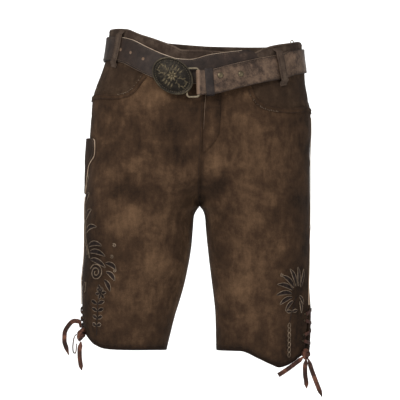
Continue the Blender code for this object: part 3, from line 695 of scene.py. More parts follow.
class Batch:
    """Many small closed shapes that become one piece."""

    def __init__(self):
        self.points, self.faces, self.tones, self.count = [], [], [], 0

    def add(self, points, faces, tone=0.0):
        points = np.asarray(points).reshape(-1, 3)
        self.points.append(points)
        self.faces += (np.asarray(faces) + self.count).tolist()
        self.tones.append(np.broadcast_to(tone, len(points)))
        self.count += len(points)

    def piece(self, name, material):
        points, tones = np.concatenate(self.points), np.concatenate(self.tones)
        return add_piece(name, points, self.faces, material, tones, sharp=60)

    def capsules(self, start, end, out, radius, arch=0.0, around=6):
        """A stitch from each start to each end, arched away from the leather."""
        start, end, out = (np.asarray(v, float).reshape(-1, 3) for v in (start, end, out))
        share = np.array([0, 0.1, 0.3, 0.5, 0.7, 0.9, 1.0])
        thick = np.array([0.25, 0.75, 1.0, 1.0, 1.0, 0.75, 0.25])
        along = unit(end - start)
        side = unit(np.cross(out, along))
        up = np.cross(along, side)
        middle = start[:, None] + (end - start)[:, None] * share[:, None]
        middle += up[:, None] * (arch * (1 - (2 * share - 1) ** 2))[:, None]
        turn = full_turn(around)
        ring = np.cos(turn)[:, None] * side[:, None] + np.sin(turn)[:, None] * up[:, None]
        radius = np.broadcast_to(radius, len(start))
        points = middle[:, :, None] + ring[:, None] * (radius[:, None] * thick)[..., None, None]
        rings = len(share)
        index = np.arange(rings * around).reshape(rings, around)
        after = np.roll(index, -1, axis=1)
        sides = np.stack([index[:-1], after[:-1], after[1:], index[1:]], axis=-1).reshape(-1, 4)
        for i in range(len(start)):
            base = self.count + i * rings * around
            self.faces += (sides + base).tolist()
            self.faces.append((index[0][::-1] + base).tolist())
            self.faces.append((index[-1] + base).tolist())
        self.points.append(points.reshape(-1, 3))
        self.tones.append(np.zeros(len(start) * rings * around))
        self.count += len(start) * rings * around

    def tube(self, path, radius, around, closed=False, out=(0.0, -1.0, 0.0), tone=0.0):
        """A round tube along a path."""
        path = np.asarray(path, float)
        if closed:
            along = unit(np.roll(path, -1, axis=0) - np.roll(path, 1, axis=0))
        else:
            along = unit(np.gradient(path, axis=0))
        out = np.broadcast_to(out, path.shape)
        side = unit(np.cross(out, along))
        up = np.cross(along, side)
        turn = full_turn(around)
        radius = np.broadcast_to(radius, len(path))[:, None, None]
        ring = np.cos(turn)[:, None] * side[:, None] + np.sin(turn)[:, None] * up[:, None]
        self.rings(path[:, None] + radius * ring, closed, tone)

    def rings(self, rings, closed=False, tone=0.0):
        rings = np.asarray(rings)
        count, around = rings.shape[:2]
        index = np.arange(count * around).reshape(count, around)
        if closed:
            index = np.concatenate([index, index[:1]])
        after = np.roll(index, -1, axis=1)
        sides = np.stack([index[:-1], after[:-1], after[1:], index[1:]], axis=-1).reshape(-1, 4).tolist()
        if not closed:
            sides += [index[0][::-1].tolist(), index[-1].tolist()]
        self.points.append(rings.reshape(-1, 3))
        self.faces += [[v + self.count for v in face] for face in sides]
        self.tones.append(np.broadcast_to(tone, (count, around)).ravel())
        self.count += count * around


def spaced(points, out, step):
    """Points and directions at even steps along a line."""
    run = run_along(points)
    at = np.arange(0.0, run[-1], step)
    place = np.column_stack([np.interp(at, run, points[:, k]) for k in range(3)])
    away = unit(np.column_stack([np.interp(at, run, out[:, k]) for k in range(3)]))
    return place, away


def stitch_line(batch, points, out, pitch=3.1, length=2.3, radius=0.33, lift=0.12):
    """A row of short stitches along a line, with a hole's space between them."""
    start, out_start = spaced(points, out, pitch)
    run = run_along(points)
    at = np.minimum(np.arange(0, run[-1], pitch) + length, run[-1])
    end = np.column_stack([np.interp(at, run, points[:, k]) for k in range(3)])
    keep = np.linalg.norm(end - start, axis=1) > 0.5 * length
    start, end, away = start[keep], end[keep], out_start[keep]
    batch.capsules(start + away * lift, end + away * lift, away, radius, 0.3)


def skin_line(side, places, lift):
    """A smooth line on the skin through (u, z) places, with the directions out of it."""
    places = np.array(places, float)
    flat = places * [GIRTH, 1]
    run = run_along(flat)
    fine = np.linspace(0, run[-1], max(8, int(run[-1] / 2.5)))
    u, z = (smooth_line(run, places[:, k], fine) for k in range(2))
    points, out = skin_frame(side, u, z)
    return points + out * lift, out


def strap(name, centre, across, half, thick, material, tone):
    """A flat strip along a line, with rounded edges. `across` points over its width."""
    along = unit(np.gradient(centre, axis=0))
    across = unit(across - (across * along).sum(axis=1, keepdims=True) * along)
    face = np.cross(along, across)[:, None]
    share = np.sin(np.radians(np.linspace(-90, 90, 11)))
    depth = thick / 2 * (1 - 0.55 * abs(share) ** 7)
    rows = centre[:, None] + across[:, None] * (np.asarray(half)[:, None] * share)[..., None]
    return shell(name, rows + face * depth[:, None], rows - face * depth[:, None], material, tone)


# Laces: the routes of the solids' ends

LACE_WIDTH = 8.0
LACE_THICK = 1.8


def through(points, count):
    """Evenly spaced points of a smooth line through the given ones."""
    points = np.array(points, float)
    run = run_along(points)
    fine = np.linspace(0, run[-1], count)
    return np.column_stack([smooth_line(run, points[:, k], fine) for k in range(3)])


KNOTS = {
    "right": (-0.07, -531, (6.3, 6.3, 13.0), 10, 0.9),
    "left": (-0.04, -566, (6.8, 6.3, 9.0), -18, -0.3),
}
# Each loose end by its points from the knot's centre, and which way its flat side faces.
LACE_ENDS = (
    ("lace_right_bend", "right", "front", (
        (-3, -2, 22), (-12, -3, 24), (-24, -1, 14), (-30, 1, 1), (-30.5, 2, -12), (-27, 3, -25),
        (-22.8, 3, -37))),
    ("lace_right_loop", "right", "side", (
        (-9.5, 0, -1), (-14, 1, -10), (-15.5, 2, -24), (-14.2, 2, -33), (-11.2, 2, -34),
        (-9.4, 2, -26), (-9, 2, -17))),
    ("lace_right_end", "right", "front", (
        (-1.5, -1, -18), (-3.2, -1, -28), (-3, -1, -40), (-1.5, 0, -53), (0.4, 0, -64))),
    ("lace_left_strap", "left", "front", (
        (-9, -5, -8), (-18, -9, -14), (-28, -13, -21), (-39, -17, -28), (-50, -20, -34.5))),
    ("lace_left_mid", "left", "front", (
        (-0.5, -5, -13), (-2, -6, -22), (-1.8, -6, -35), (0, -5, -47), (1, -4, -60))),
    ("lace_left_end", "left", "front", (
        (5.5, 1, -12), (9, 1, -24), (14, 2, -38), (21, 3, -56), (29, 4, -76))),
)


def knot_frame(side):
    """The knot's centre, its three directions and half its size along each."""
    u, z, half, lean, gap = KNOTS[side]
    lean = np.radians(lean)
    across = np.array([np.cos(lean), 0, -np.sin(lean)])
    up = np.array([np.sin(lean), 0, np.cos(lean)])
    centre = skin(side, np.array(u), np.array(z), half[0] + gap)
    return centre, np.array([across, [0, 1.0, 0], up]), np.array(half)


def lace_ends():
    count = 42
    wear = np.random.default_rng(11)
    for name, side, facing, points in LACE_ENDS:
        middle, axes, half = knot_frame(side)
        leaving = unit(np.array(points[0], float))
        start = leaving * (1 / np.linalg.norm(axes @ leaving / half) + 0.75)
        centre = middle + through((start,) + points, count)
        along = np.gradient(centre, axis=0)
        front = np.tile([0, -1.0, 0], (count, 1))
        across = np.cross(along, front) if facing == "front" else front
        share = np.linspace(0, 1, count)
        wide = LACE_WIDTH / 2 * (0.4 + 0.6 * ease(share / 0.16))
        if facing == "side":
            wide = wide * (1 - 0.45 * ease((share - 0.8) / 0.2))
        elif name != "lace_left_strap":
            wide = wide * (1 - 0.7 * ease((share - 0.84) / 0.16))
        tone = 0.5 * np.interp(share, np.linspace(0, 1, 9), wear.uniform(-1, 1, 9))[:, None]
        piece = strap(name + "_thong", centre, across, wide, LACE_THICK, "lace", tone)
        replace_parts(piece, name)


# Panels


def spots(side, u, z):
    """The sum of soft spots, each given by place, half width, half height and amount."""
    total = np.zeros(np.shape(u))
    for u0, z0, wide, high, amount in SPOTS[side]:
        total += amount * np.exp(-(((u - u0) * GIRTH / wide) ** 2) - ((z - z0) / high) ** 2)
    return total


# Stains and other darker spots are under 0, rubbed places over 0; the rows marked below are painted shade.
SPOTS = {
    "right": (
        (-0.807, -172, 22, 16, -0.55),
        (-0.84, -211, 24, 20, -0.6),
        (-0.504, -279, 26, 18, -0.45),
        (-0.681, -111, 30, 14, 0.5),
        (-0.639, -408, 30, 34, 0.4),
        # Painted shade: a dark strip along the centre seam beside the fly.
        (-0.93, -150, 14, 60, -0.3),
        (-0.16, -380, 30, 90, -0.5),
        (-0.54, -88, 14, 12, 0.7),
        (-0.45, -330, 40, 40, 0.25),
        (0.5, -150, 60, 50, 0.3),
        (0.55, -420, 50, 60, 0.3),
        (0.85, -260, 40, 40, -0.4),
    ),
    "left": (
        (-0.824, -271, 24, 18, -0.5),
        (-0.303, -288, 28, 22, -0.45),
        (-0.891, -228, 16, 26, 0.5),
        (-0.6, -200, 44, 36, 0.25),
        (-0.55, -400, 40, 60, 0.2),
        # Painted shade: darker at the inseam just under the crotch.
        (-0.93, -320, 16, 50, -0.35),
        (-0.17, -450, 28, 60, -0.5),
        (-0.66, -104, 12, 12, 0.5),
        (0.5, -160, 60, 50, 0.3),
        (0.5, -430, 50, 60, 0.3),
        (0.85, -250, 40, 40, -0.4),
    ),
}


def leather_tone(side, u, z, to_hem):
    """Spots of stains, rubbing and painted shade; darker to the outer sides, along the seams and at the
    hem.
    """
    side_shade = -0.55 * bell(abs(u) * GIRTH, 55) * ease((-z - 60) / 120)
    hem_shade = -0.9 * bell(to_hem, 7) - 0.25 * bell(to_hem, 40)
    seam = -0.35 * bell((1 - abs(u)) * GIRTH, 7)
    return spots(side, u, z) + side_shade + hem_shade + seam


def panel(side, face):
    name = f"{face}_{side}"
    sign = -1 if face == "front" else 1
    columns = np.concatenate([[0, 0.0025, 0.006], np.linspace(0.014, 0.986, 86), [0.994, 0.9975, 1]])
    top = waist_seam(side, sign * columns) - 2 * SEAM_GAP
    if face == "front":
        edge = POCKET_EDGE[side]
        top = np.where(columns < edge.values[0][-1] - 1e-6, edge.read("z", columns), top)
    hem = HEM[side].read("z", sign * columns)
    down = np.concatenate([[0, 0.0018, 0.005], np.linspace(0.012, 0.988, 152), [0.995, 0.9985, 1]])[:, None]
    z = top + down * (hem - top)
    girth = half_girth(side, face, z.ravel()).reshape(z.shape)
    slit = SLIT_GAP / 2 * ease((SLIT_TOP - z) / 60)
    apart = (SEAM_GAP / 2 + slit) / girth * (1 - columns) ** 8
    share = columns + apart - SEAM_GAP / 2 / girth * (columns > 0.999)
    points, out = skin_frame(side, sign * share, z)
    to_side, to_middle = columns * girth, (1 - columns) * girth
    facing = ease(abs(out[..., 1]) * 1.2 - 0.2)
    sink = -1.0 * bell(to_side, 1.7) - 1.1 * bell(to_middle, 1.9) * facing
    sink += 0.55 * bell(to_middle - 5, 2.6) + 0.45 * bell(to_side - 5, 2.6)
    sink -= 0.6 * bell(z - hem, 1.6) + 0.6 * bell(top - z, 1.4)
    tone = leather_tone(side, sign * share, z, z - hem)
    # The sewn edges run a little into each other, so that no light shows through a seam.
    above = (z[:, -1] > CROTCH_Z)[:, None]
    middle = np.array([-0.7 * SIGN[side], 0, 0])
    for column, reach in ((-1, 1.0), (-2, 0.6)):
        leg = unit(points[:, column] - points[:, column - 1]) * 0.45
        points[:, column] += reach * np.where(above, middle, leg)
    closed = (z[:, 0] > SLIT_TOP)[:, None]
    points[:, 0] += unit(points[:, 0] - points[:, 1]) * 0.45 * closed
    outer = points + out * sink[..., None]
    piece = shell(name + "_leather", outer, points - out * WALL, "suede", tone)
    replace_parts(piece, name)


def hip_piece(side):
    edge = POCKET_EDGE[side]
    columns = np.linspace(0, edge.values[0][-1], 70)
    top = waist_seam(side, -columns) - 2 * SEAM_GAP
    bottom = np.minimum(edge.read("z", columns) - 12, top - 10)
    z = top + np.linspace(0, 1, 34)[:, None] * (bottom - top)
    share = np.broadcast_to(columns + 3 * SEAM_GAP / GIRTH * (columns < 0.001), z.shape)
    lift = -(WALL + 0.4) * (1 - ease((z - edge.read("z", columns) - 8) / 18))
    points, out = skin_frame(side, -share, z)
    lift = lift - 0.7 * bell(top - z, 2)
    tone = 0.25 * bell(z - edge.read("z", columns), 14) - 0.2
    inner = points + out * (lift - WALL)[..., None]
    piece = shell(f"hip_{side}_leather", points + out * lift[..., None], inner, "hip", tone)
    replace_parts(piece, "hip_" + side)


POCKET_BAND_ENDS = {"right": (0.06, 0.553), "left": (0.06, 0.664)}
POCKET_BAND_WIDTH = 9.0
STRIP_THICK = 1.4


def pocket_band(side):
    edge = POCKET_EDGE[side]
    share = np.linspace(*POCKET_BAND_ENDS[side], 110)
    z = edge.read("z", share)
    steep = np.gradient(z, share * GIRTH)
    shift = (POCKET_BAND_WIDTH / 2 + 0.6) / np.sqrt(1 + steep**2)
    u, z = -(share + steep * shift / GIRTH), z - shift
    points, out = skin_frame(side, u, z)
    centre = points + out * (LAY_GAP + 0.7)
    across = np.cross(out, np.gradient(centre, axis=0))
    half = np.full(len(u), POCKET_BAND_WIDTH / 2)
    piece = strap(f"pocket_band_{side}_leather", centre, across, half, STRIP_THICK, "suede", -0.15)
    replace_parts(piece, "pocket_band_" + side)
    rows = Batch()
    for away in (-3.1, 3.1):
        stitch_line(rows, centre + unit(across) * away, out, lift=0.85)
    rows.piece(f"pocket_stitches_{side}", "dark_thread")
    worn = Batch()
    at = np.linspace(74, 106, 15).astype(int)
    lengths = 1.8 + 1.3 * np.sin(np.arange(15) * 2.1)
    start = centre[at] + unit(across[at]) * 4.6 + out[at] * 0.9
    along = unit(np.gradient(centre, axis=0))[at]
    end = start - unit(across[at]) * lengths[:, None] + along * 1.4 + out[at] * 0.2
    worn.capsules(start, end, out[at], 0.34, 0.3)
    worn.piece(f"pocket_worn_threads_{side}", "light_thread")


FLY_WIDTH = Table(("z", "width"), (-80, 27), (-172, 27), (-190, 21.5), (-203, 12), (-211, 4))
FLY_STITCHES = (
    (-0.893, -92), (-0.891, -118), (-0.884, -148), (-0.893, -174), (-0.924, -193), (-0.985, -208)
)


def fly_flap():
    z = np.concatenate([np.linspace(-89, -172, 34), np.linspace(-175, -211, 26)])[:, None] + np.zeros(16)
    share = np.linspace(0, 1, 16)
    away = 0.4 + share * FLY_WIDTH.read("width", z)
    girth = half_girth("left", "front", z.ravel()).reshape(z.shape)
    points, out = skin_frame("left", -(1 - away / girth), z)
    lift = LAY_GAP + 1.5 - 0.7 * bell(share * 27, 1.5)
    tone = -0.35 + 0.3 * bell(share - 0.5, 0.3)
    piece = shell("fly_flap_leather", points + out * lift[:, None], points + out * LAY_GAP, "suede", tone)
    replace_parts(piece, "fly_flap")
    rows = Batch()
    for shift in (0.0, 0.009):
        line, away = skin_line("left", [(u - shift, z - shift * 300) for u, z in FLY_STITCHES], 0.1)
        stitch_line(rows, line, away)
    rows.piece("fly_stitches", "dark_thread")
    # A pale line on the flap's free edge that thins out downwards: partly the raw edge and partly a painted
    # highlight.
    raw = Batch()
    fade = np.interp(z[:34, 0], [-172, -120, -95], [0.12, 0.4, 0.5])
    raw.tube(points[:34, 0] + out[:34, 0] * (LAY_GAP + 0.75), fade, 8, out=out[:34, 0], tone=-0.7)
    raw.piece("fly_raw_edge_and_highlight", "edge")


KNIFE_POCKET = Table(
    ("z", "front", "back", "stand_off"),
    (-184, 42, 26, 4.5),
    (-190, 51, 29, 4.5),
    (-204, 53, 30, 4.5),
    (-217, 51, 29, 4.5),
    (-226, 40, 24, 4.2),
    (-236, 28, 20, 3.4),
    (-256, 22, 17, 2.6),
    (-271, 13, 10, 1.5),
    (-283, 5, 4, 0.3),
)


def knife_pocket():
    z = np.linspace(-184, -283, 60)[:, None] + np.zeros(41)
    across = np.sin(np.radians(np.linspace(-90, 90, 41)))
    reach = np.where(across < 0, KNIFE_POCKET.read("front", z), KNIFE_POCKET.read("back", z))
    u = across * reach / GIRTH
    lift = LAY_GAP + KNIFE_POCKET.read("stand_off", z) * (1 - abs(across) ** 2.5)
    points, out = skin_frame("right", u, z)
    tone = -0.2 + 0.5 * bell(1 - abs(across), 0.03) + 0 * z
    round_off = 0.7 * bell(1 - abs(across), 0.02)
    outer = points + out * (lift + 1.8 - round_off)[..., None]
    piece = shell("knife_pocket_leather", outer, points + out * lift[..., None], "dark", tone)
    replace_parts(piece, "knife_pocket")
    rows, piping = Batch(), Batch()
    z = np.linspace(-186, -281, 70)
    for name, sign in (("front", -1), ("back", 1)):
        reach = KNIFE_POCKET.read(name, z)
        line, away = skin_frame("right", sign * (reach - 4) / GIRTH, z)
        fit = (reach - 4) / reach
        height = LAY_GAP + 1.9 + KNIFE_POCKET.read("stand_off", z) * (1 - np.clip(fit, 0, 1) ** 2.5)
        stitch_line(rows, line + away * height[:, None], away)
        edge_line, away = skin_frame("right", sign * (reach + 0.6) / GIRTH, z)
        piping.tube(edge_line + away * 0.9, 0.75, 8, out=away)
    rows.piece("knife_pocket_stitches", "thread")
    piping.piece("knife_pocket_piping", "edge")


def waistband():
    ends = np.array([5.2, 5.1, 4.9, 4.6, 4.2, 3.6, 3.0, 2.1, 1.2])
    around = np.concatenate([ends, -np.linspace(0, 369, 310)])
    inset = np.interp(around, [-3, 1.2, 3.0, 4.2, 4.9, 5.2], [0, 0.1, 0.8, 2.4, 4.6, 8])[None]
    share = np.concatenate([[0, 0.012, 0.035], np.linspace(0.08, 0.92, 17), [0.965, 0.988, 1]])[:, None]
    top = WAIST_TOP.read("z", (around + 180) % 360 - 180)
    z = top - inset - share * (BAND_HEIGHT - 2 * inset)
    lift = (WALL + 0.4) * (1 - ease((-around - 12) / 16))
    points, out = waist_frame(np.broadcast_to(around, z.shape), z)
    away = np.minimum(share, 1 - share) * BAND_HEIGHT
    wave = 0.35 * np.sin(np.radians(around) * 23) * np.sin(np.radians(around) * 7.3 + 1)
    round_off = -0.8 * bell(away, 1.5) + wave * bell(away - 7, 6)
    outer = points + out * (lift + round_off)[..., None]
    inner = points + out * (lift - WALL + 0.6 * bell(away, 1.2))[..., None]
    tone = 0.5 * bell(away, 1.6) * (share < 0.5) - 0.15 * (share > 0.5) + 0 * z
    piece = shell("waistband_leather", outer, inner, "band", tone)
    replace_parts(piece, "waistband")
    rows = Batch()
    for at in (0.09, 0.93):
        row = np.argmin(abs(share[:, 0] - at))
        stitch_line(rows, outer[row, 12:], out[row, 12:])
    rows.piece("waistband_stitches", "dark_thread")


# Belt

BELT_WIDTH = 42.0
BELT_THICK = 2.6
BELT = Table(
    ("run", "z", "lift"),
    (-35, -53.4, 4.3),
    (-26, -57.3, 4.3),
    (-4, -65.4, 4.3),
    (10, -74, 4.3),
    (18, -73, 4.3),
    (30, -63.7, 4.1),
    (42, -49.7, 3.0),
    (55, -34.5, 2.9),
    (70, -27, 2.9),
    (90, -24, 3.0),
    (135, -30, 3.2),
    (180, -36, 2.7),
    (270, -44.1, 2.8),
    (296, -53, 2.8),
    (308, -62.5, 3.6),
    (320, -69.1, 6.8),
    (328, -74, 9.0),
    (334, -77.9, 10.0),
    (344, -84.5, 12.8),
    (351, -90, 15.9),
    (356, -93, 16.5),
    (364, -94, 16.5),
)
BELT_BACK_LIFT = 9.7
BELT_FRONT_LIFT = 16.5
BAR_RADIUS = 1.8


def belt_line(run, lift=None):
    run = np.asarray(run, float)
    z = BELT.read("z", run)
    lift = BELT.read("lift", run) if lift is None else np.full(len(run), lift)
    centre = waist(-run, z, lift)
    up = waist(-run, z + 1, lift) - waist(-run, z - 1, lift)
    return centre, up


def bar_frame():
    """The centre of the buckle's bar, with the belt's direction, its width and the way out."""
    centre, up = belt_line([362, 363, 364])
    along = unit(centre[2] - centre[0])
    width = square_to(along, up[2])
    out = unit(np.cross(width, along))
    if out[1] > 0:
        out = -out
    return centre[2], along, width, out


HOLE_RUNS = (41.6, 51.3, 59.8, 31.0)
# Pale edge lines: rubbed raw edges, which on the upper edge are also a painted highlight. Each gives the
# first and last run, the belt's upper (-1) or lower (0) edge, and the radius.
BELT_RAW_EDGES_AND_HIGHLIGHT = ((-25, 62, -1, 0.85), (300, 361, -1, 0.5), (22, 60, 0, 0.45), (-25, 9, 0, 0.45))


def belt():
    start = np.array([-35, -34.8, -34.4, -33.6, -32.6, -31.2, -29.5, -26])
    body = np.concatenate([np.arange(-25, 14, 1.0), np.arange(14, 66, 0.3), np.arange(66, 364, 1.5)])
    run = np.concatenate([start, body])
    half = np.full(len(run), BELT_WIDTH / 2)
    half[:8] = (5, 7.4, 10.2, 13.5, 16.4, 18.6, 20, 21)
    z, lift = BELT.read("z", run), BELT.read("lift", run)
    per_degree = GIRTH / 90
    lean = np.arctan(np.gradient(z, run * per_degree))
    side = np.array([0, 0.045, 0.09, 0.14, 0.2, 0.3, 0.42, 0.55, 0.68, 0.8, 0.88, 0.94, 0.975, 1.0])
    share = np.concatenate([-side[:0:-1], side])
    across = half[:, None] * share
    place = -run[:, None] + across * np.sin(lean)[:, None] / per_degree
    high = z[:, None] + across * np.cos(lean)[:, None]
    points, out = waist_frame(place, high)
    edge = 1 - 0.45 * abs(share) ** 14
    groove = -0.35 * bell(abs(share) - 0.86, 0.02)
    dimple = np.zeros(across.shape)
    tone = 0.55 * ease((run - 262) / 24)[:, None] - 0.25 - 0.5 * abs(share) ** 12
    for hole in HOLE_RUNS:
        away = np.hypot((run[:, None] - hole) * per_degree, across)
        dimple -= 1.5 * np.exp(-((away / 2.0) ** 4))
        tone = tone + 1.9 * np.exp(-((away / 2.5) ** 6))
    outer = points + out * (lift[:, None] + BELT_THICK / 2 * edge + groove + dimple)[..., None]
    inner = points + out * (lift[:, None] - BELT_THICK / 2 * edge)[..., None]
    end, along, width, away = bar_frame()
    radius = (BELT_FRONT_LIFT - BELT_BACK_LIFT) / 2
    turn = np.linspace(0, np.pi, 19)[1:-1]
    curl = end - away * radius + radius * (np.outer(np.sin(turn), along) + np.outer(np.cos(turn), away))
    back, _ = belt_line(np.linspace(364, 349, 14), BELT_BACK_LIFT)
    back += (end - away * 2 * radius) - back[0]
    fold = np.concatenate([[end], curl, back])
    step = unit(np.gradient(fold, axis=0))
    face = np.cross(width, step)[:, None] * BELT_THICK / 2 * edge[:, None]
    face *= np.sign(face[0, 0] @ away)
    rows = fold[:, None] + width * (share * BELT_WIDTH / 2)[:, None]
    tone = np.concatenate([tone, np.full((len(fold), len(share)), 0.9)])
    faces = np.concatenate([outer, rows + face]), np.concatenate([inner, rows - face])
    piece = shell("belt_strap", *faces, "belt", tone)
    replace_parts(piece, "belt")
    rows = Batch()
    for low in (-0.86, 0.86):
        column = np.argmin(abs(share - low))
        chosen = (run > -24) & (run < 362)
        stitch_line(rows, outer[chosen, column], out[chosen, column], 4.0, 3.0, 0.36, 0.2)
    rows.piece("belt_stitches", "thread")
    raw = Batch()
    for first, last, column, radius in BELT_RAW_EDGES_AND_HIGHLIGHT:
        chosen = (run >= first) & (run <= last)
        middle = (outer[chosen, column] + inner[chosen, column]) / 2
        fade = 0.35 + 0.65 * np.sin(np.linspace(0.05, 0.95, chosen.sum()) * np.pi) ** 0.5
        # The thick line on the upper front edge is made brighter than the rest: a painted highlight.
        raw.tube(middle, radius * fade, 8, out=out[chosen, column], tone=0.3 if radius > 0.8 else -0.6)
    raw.piece("belt_raw_edges_and_highlight", "edge")


def keeper():
    """The narrow loop that holds the belt's folded end."""
    centre, up = belt_line([354.5, 357.5, 360.5])
    back, _ = belt_line([357.5], BELT_BACK_LIFT)
    along = unit(centre[2] - centre[0])
    width = square_to(along, up[1])
    out = unit(centre[1] - back[0])
    middle = (centre[1] + back[0]) / 2
    tall = BELT_WIDTH / 2 + 1.2 + 0.75
    deep = (BELT_FRONT_LIFT - BELT_BACK_LIFT) / 2 + BELT_THICK / 2 + 0.45 + 0.75
    corner = 2.2
    path, away = [], []
    for cw, cd, first in ((1, 1, 0), (-1, 1, 90), (-1, -1, 180), (1, -1, 270)):
        for t in np.radians(first + np.linspace(0, 90, 7)):
            wide = cw * (tall - corner) + corner * np.cos(t)
            high = cd * (deep - corner) + corner * np.sin(t)
            path.append(width * wide + out * high)
            away.append(width * np.cos(t) + out * np.sin(t))
    path, away = middle + np.array(path), np.array(away)
    turn = full_turn(20)
    wide = np.sign(np.cos(turn)) * abs(np.cos(turn)) ** 0.35 * 7
    thick = np.sign(np.sin(turn)) * abs(np.sin(turn)) ** 0.5 * 0.75
    rings = path[:, None] + wide[:, None] * along + away[:, None] * thick[:, None]
    batch = Batch()
    batch.rings(rings, closed=True)
    piece = batch.piece("belt_keeper_loop", "keeper")
    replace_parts(piece, "belt_keeper")


def rounded_path(centre, along, width, box, corner):
    """A closed rounded rectangle; box is low and high along, then low and high over the width."""
    path = []
    low, high, down, up = box
    for cx, cy, first in ((high, up, 0), (low, up, 90), (low, down, 180), (high, down, 270)):
        x = cx - corner if cx == high else cx + corner
        y = cy - corner if cy == up else cy + corner
        for t in np.radians(first + np.linspace(0, 90, 9)):
            path.append(centre + along * (x + corner * np.cos(t)) + width * (y + corner * np.sin(t)))
    return np.array(path)


def buckle_ring():
    end, along, width, out = bar_frame()
    bar = end - out * (BELT_FRONT_LIFT - BELT_BACK_LIFT) / 2
    path = rounded_path(bar, along, width, (0.0, 21.0, -24.6, 24.6), 5.0)
    batch = Batch()
    batch.tube(path, BAR_RADIUS, 14, closed=True, out=out, tone=0.3)
    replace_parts(batch.piece("buckle_ring_wire", "relief"), "buckle_ring")


PLATE_CENTRE = np.array([-51.8, -120.6, -82.1])
PLATE_HALF = (39.0, 28.6)
PLATE_TILT = -35.0
PLATE_YAW = 12.3
PLATE_PROFILE = (
    (1.0, 0.0), (1.0, 2.2), (0.975, 3.4), (0.93, 3.6), (0.9, 2.8), (0.87, 2.8), (0.7, 4.4),
    (0.45, 5.6), (0.2, 6.2), (0.04, 6.3),
)


PLATE_RIM = (
    (1.0, 0.0), (1.0, 1.1), (1.0, 2.2), (0.992, 2.9), (0.975, 3.4), (0.953, 3.65), (0.93, 3.6), (0.912, 3.2)
)


def plate_axes():
    yaw, tilt = np.radians(PLATE_YAW), np.radians(PLATE_TILT)
    right = np.array([np.cos(yaw), -np.sin(yaw), 0])
    up = np.array([0, 0, 1.0])
    out = np.cross(right, up)
    return np.cos(tilt) * right + np.sin(tilt) * up, np.cos(tilt) * up - np.sin(tilt) * right, out


def on_plate(a, b, height=0.0):
    """A point `height` over the plate's face, a mm along it and b mm over it."""
    long, short, out = plate_axes()
    a, b = np.asarray(a, float), np.asarray(b, float)
    share = np.hypot(a / PLATE_HALF[0], b / PLATE_HALF[1])
    profile = np.array(PLATE_PROFILE[3:])[::-1]
    rise = smooth_line(profile[:, 0], profile[:, 1], share)
    return PLATE_CENTRE + a[..., None] * long + b[..., None] * short + (rise + height)[..., None] * out


RELIEF_RIDGE = 0.35


def relief_leaf(batch, a, b, angle, length, width, height, curl=0.0):
    """A raised leaf or petal on the plate, from its foot at (a, b)."""
    s = np.linspace(0, 1, 11)[:, None]
    t = np.linspace(-1, 1, 7)
    heading = np.radians(angle + curl * s[:, 0])
    step = length / 10
    ca = a + np.concatenate([[0], np.cos(heading[:-1]).cumsum()]) * step
    cb = b + np.concatenate([[0], np.sin(heading[:-1]).cumsum()]) * step
    half = width / 2 * (np.sin(np.pi * np.clip(s, 0.04, 0.985) ** 0.75)) ** 0.8
    pa = ca[:, None] - np.sin(heading)[:, None] * half * t
    pb = cb[:, None] + np.cos(heading)[:, None] * half * t
    swell = np.sin(np.pi * np.clip(s, 0.03, 0.97)) ** 0.5
    rise = height * swell * (1 - t**2) ** 0.6 + RELIEF_RIDGE * swell * bell(t, 0.2)
    outer = on_plate(pa, pb, rise)
    inner = on_plate(pa, pb, np.full(pa.shape, -0.5))
    points, faces = slab_mesh(outer, inner)
    tone = (0.2 + 0.6 * rise / max(height, 0.1)).ravel()
    batch.add(points, faces, np.concatenate([tone, tone]))


def relief_bead(batch, a, b, radius, tone=0.7):
    turn = full_turn(10)
    rings = []
    for lift in (-20, 15, 45, 68, 85):
        r, h = radius * np.cos(np.radians(lift)), radius * np.sin(np.radians(lift)) * 0.8
        rings.append(on_plate(a + r * np.cos(turn), b + r * np.sin(turn), np.full(10, h)))
    batch.rings(rings, tone=tone)


SPRAY_STEM = ((10.5, 1.5), (14, 4.2), (18.5, 6.2), (23, 6.3), (27, 4.4), (29, 1.6))
# Each leaf of a spray: the stem's point that it leaves, its angle off the stem and its length.
SPRAY_LEAVES = ((4, 62, 5.2), (9, -38, 5.0), (13, 55, 6.0), (18, -40, 4.6), (22, 48, 5.4), (26, -30, 4.0))
# The short leaves over and under the flower: where they start, their heading and their length.
SHORT_LEAVES = ((-8, 100, 7.5), (-3, 88, 9.0), (3, 92, 9.0), (8, 80, 7.5))


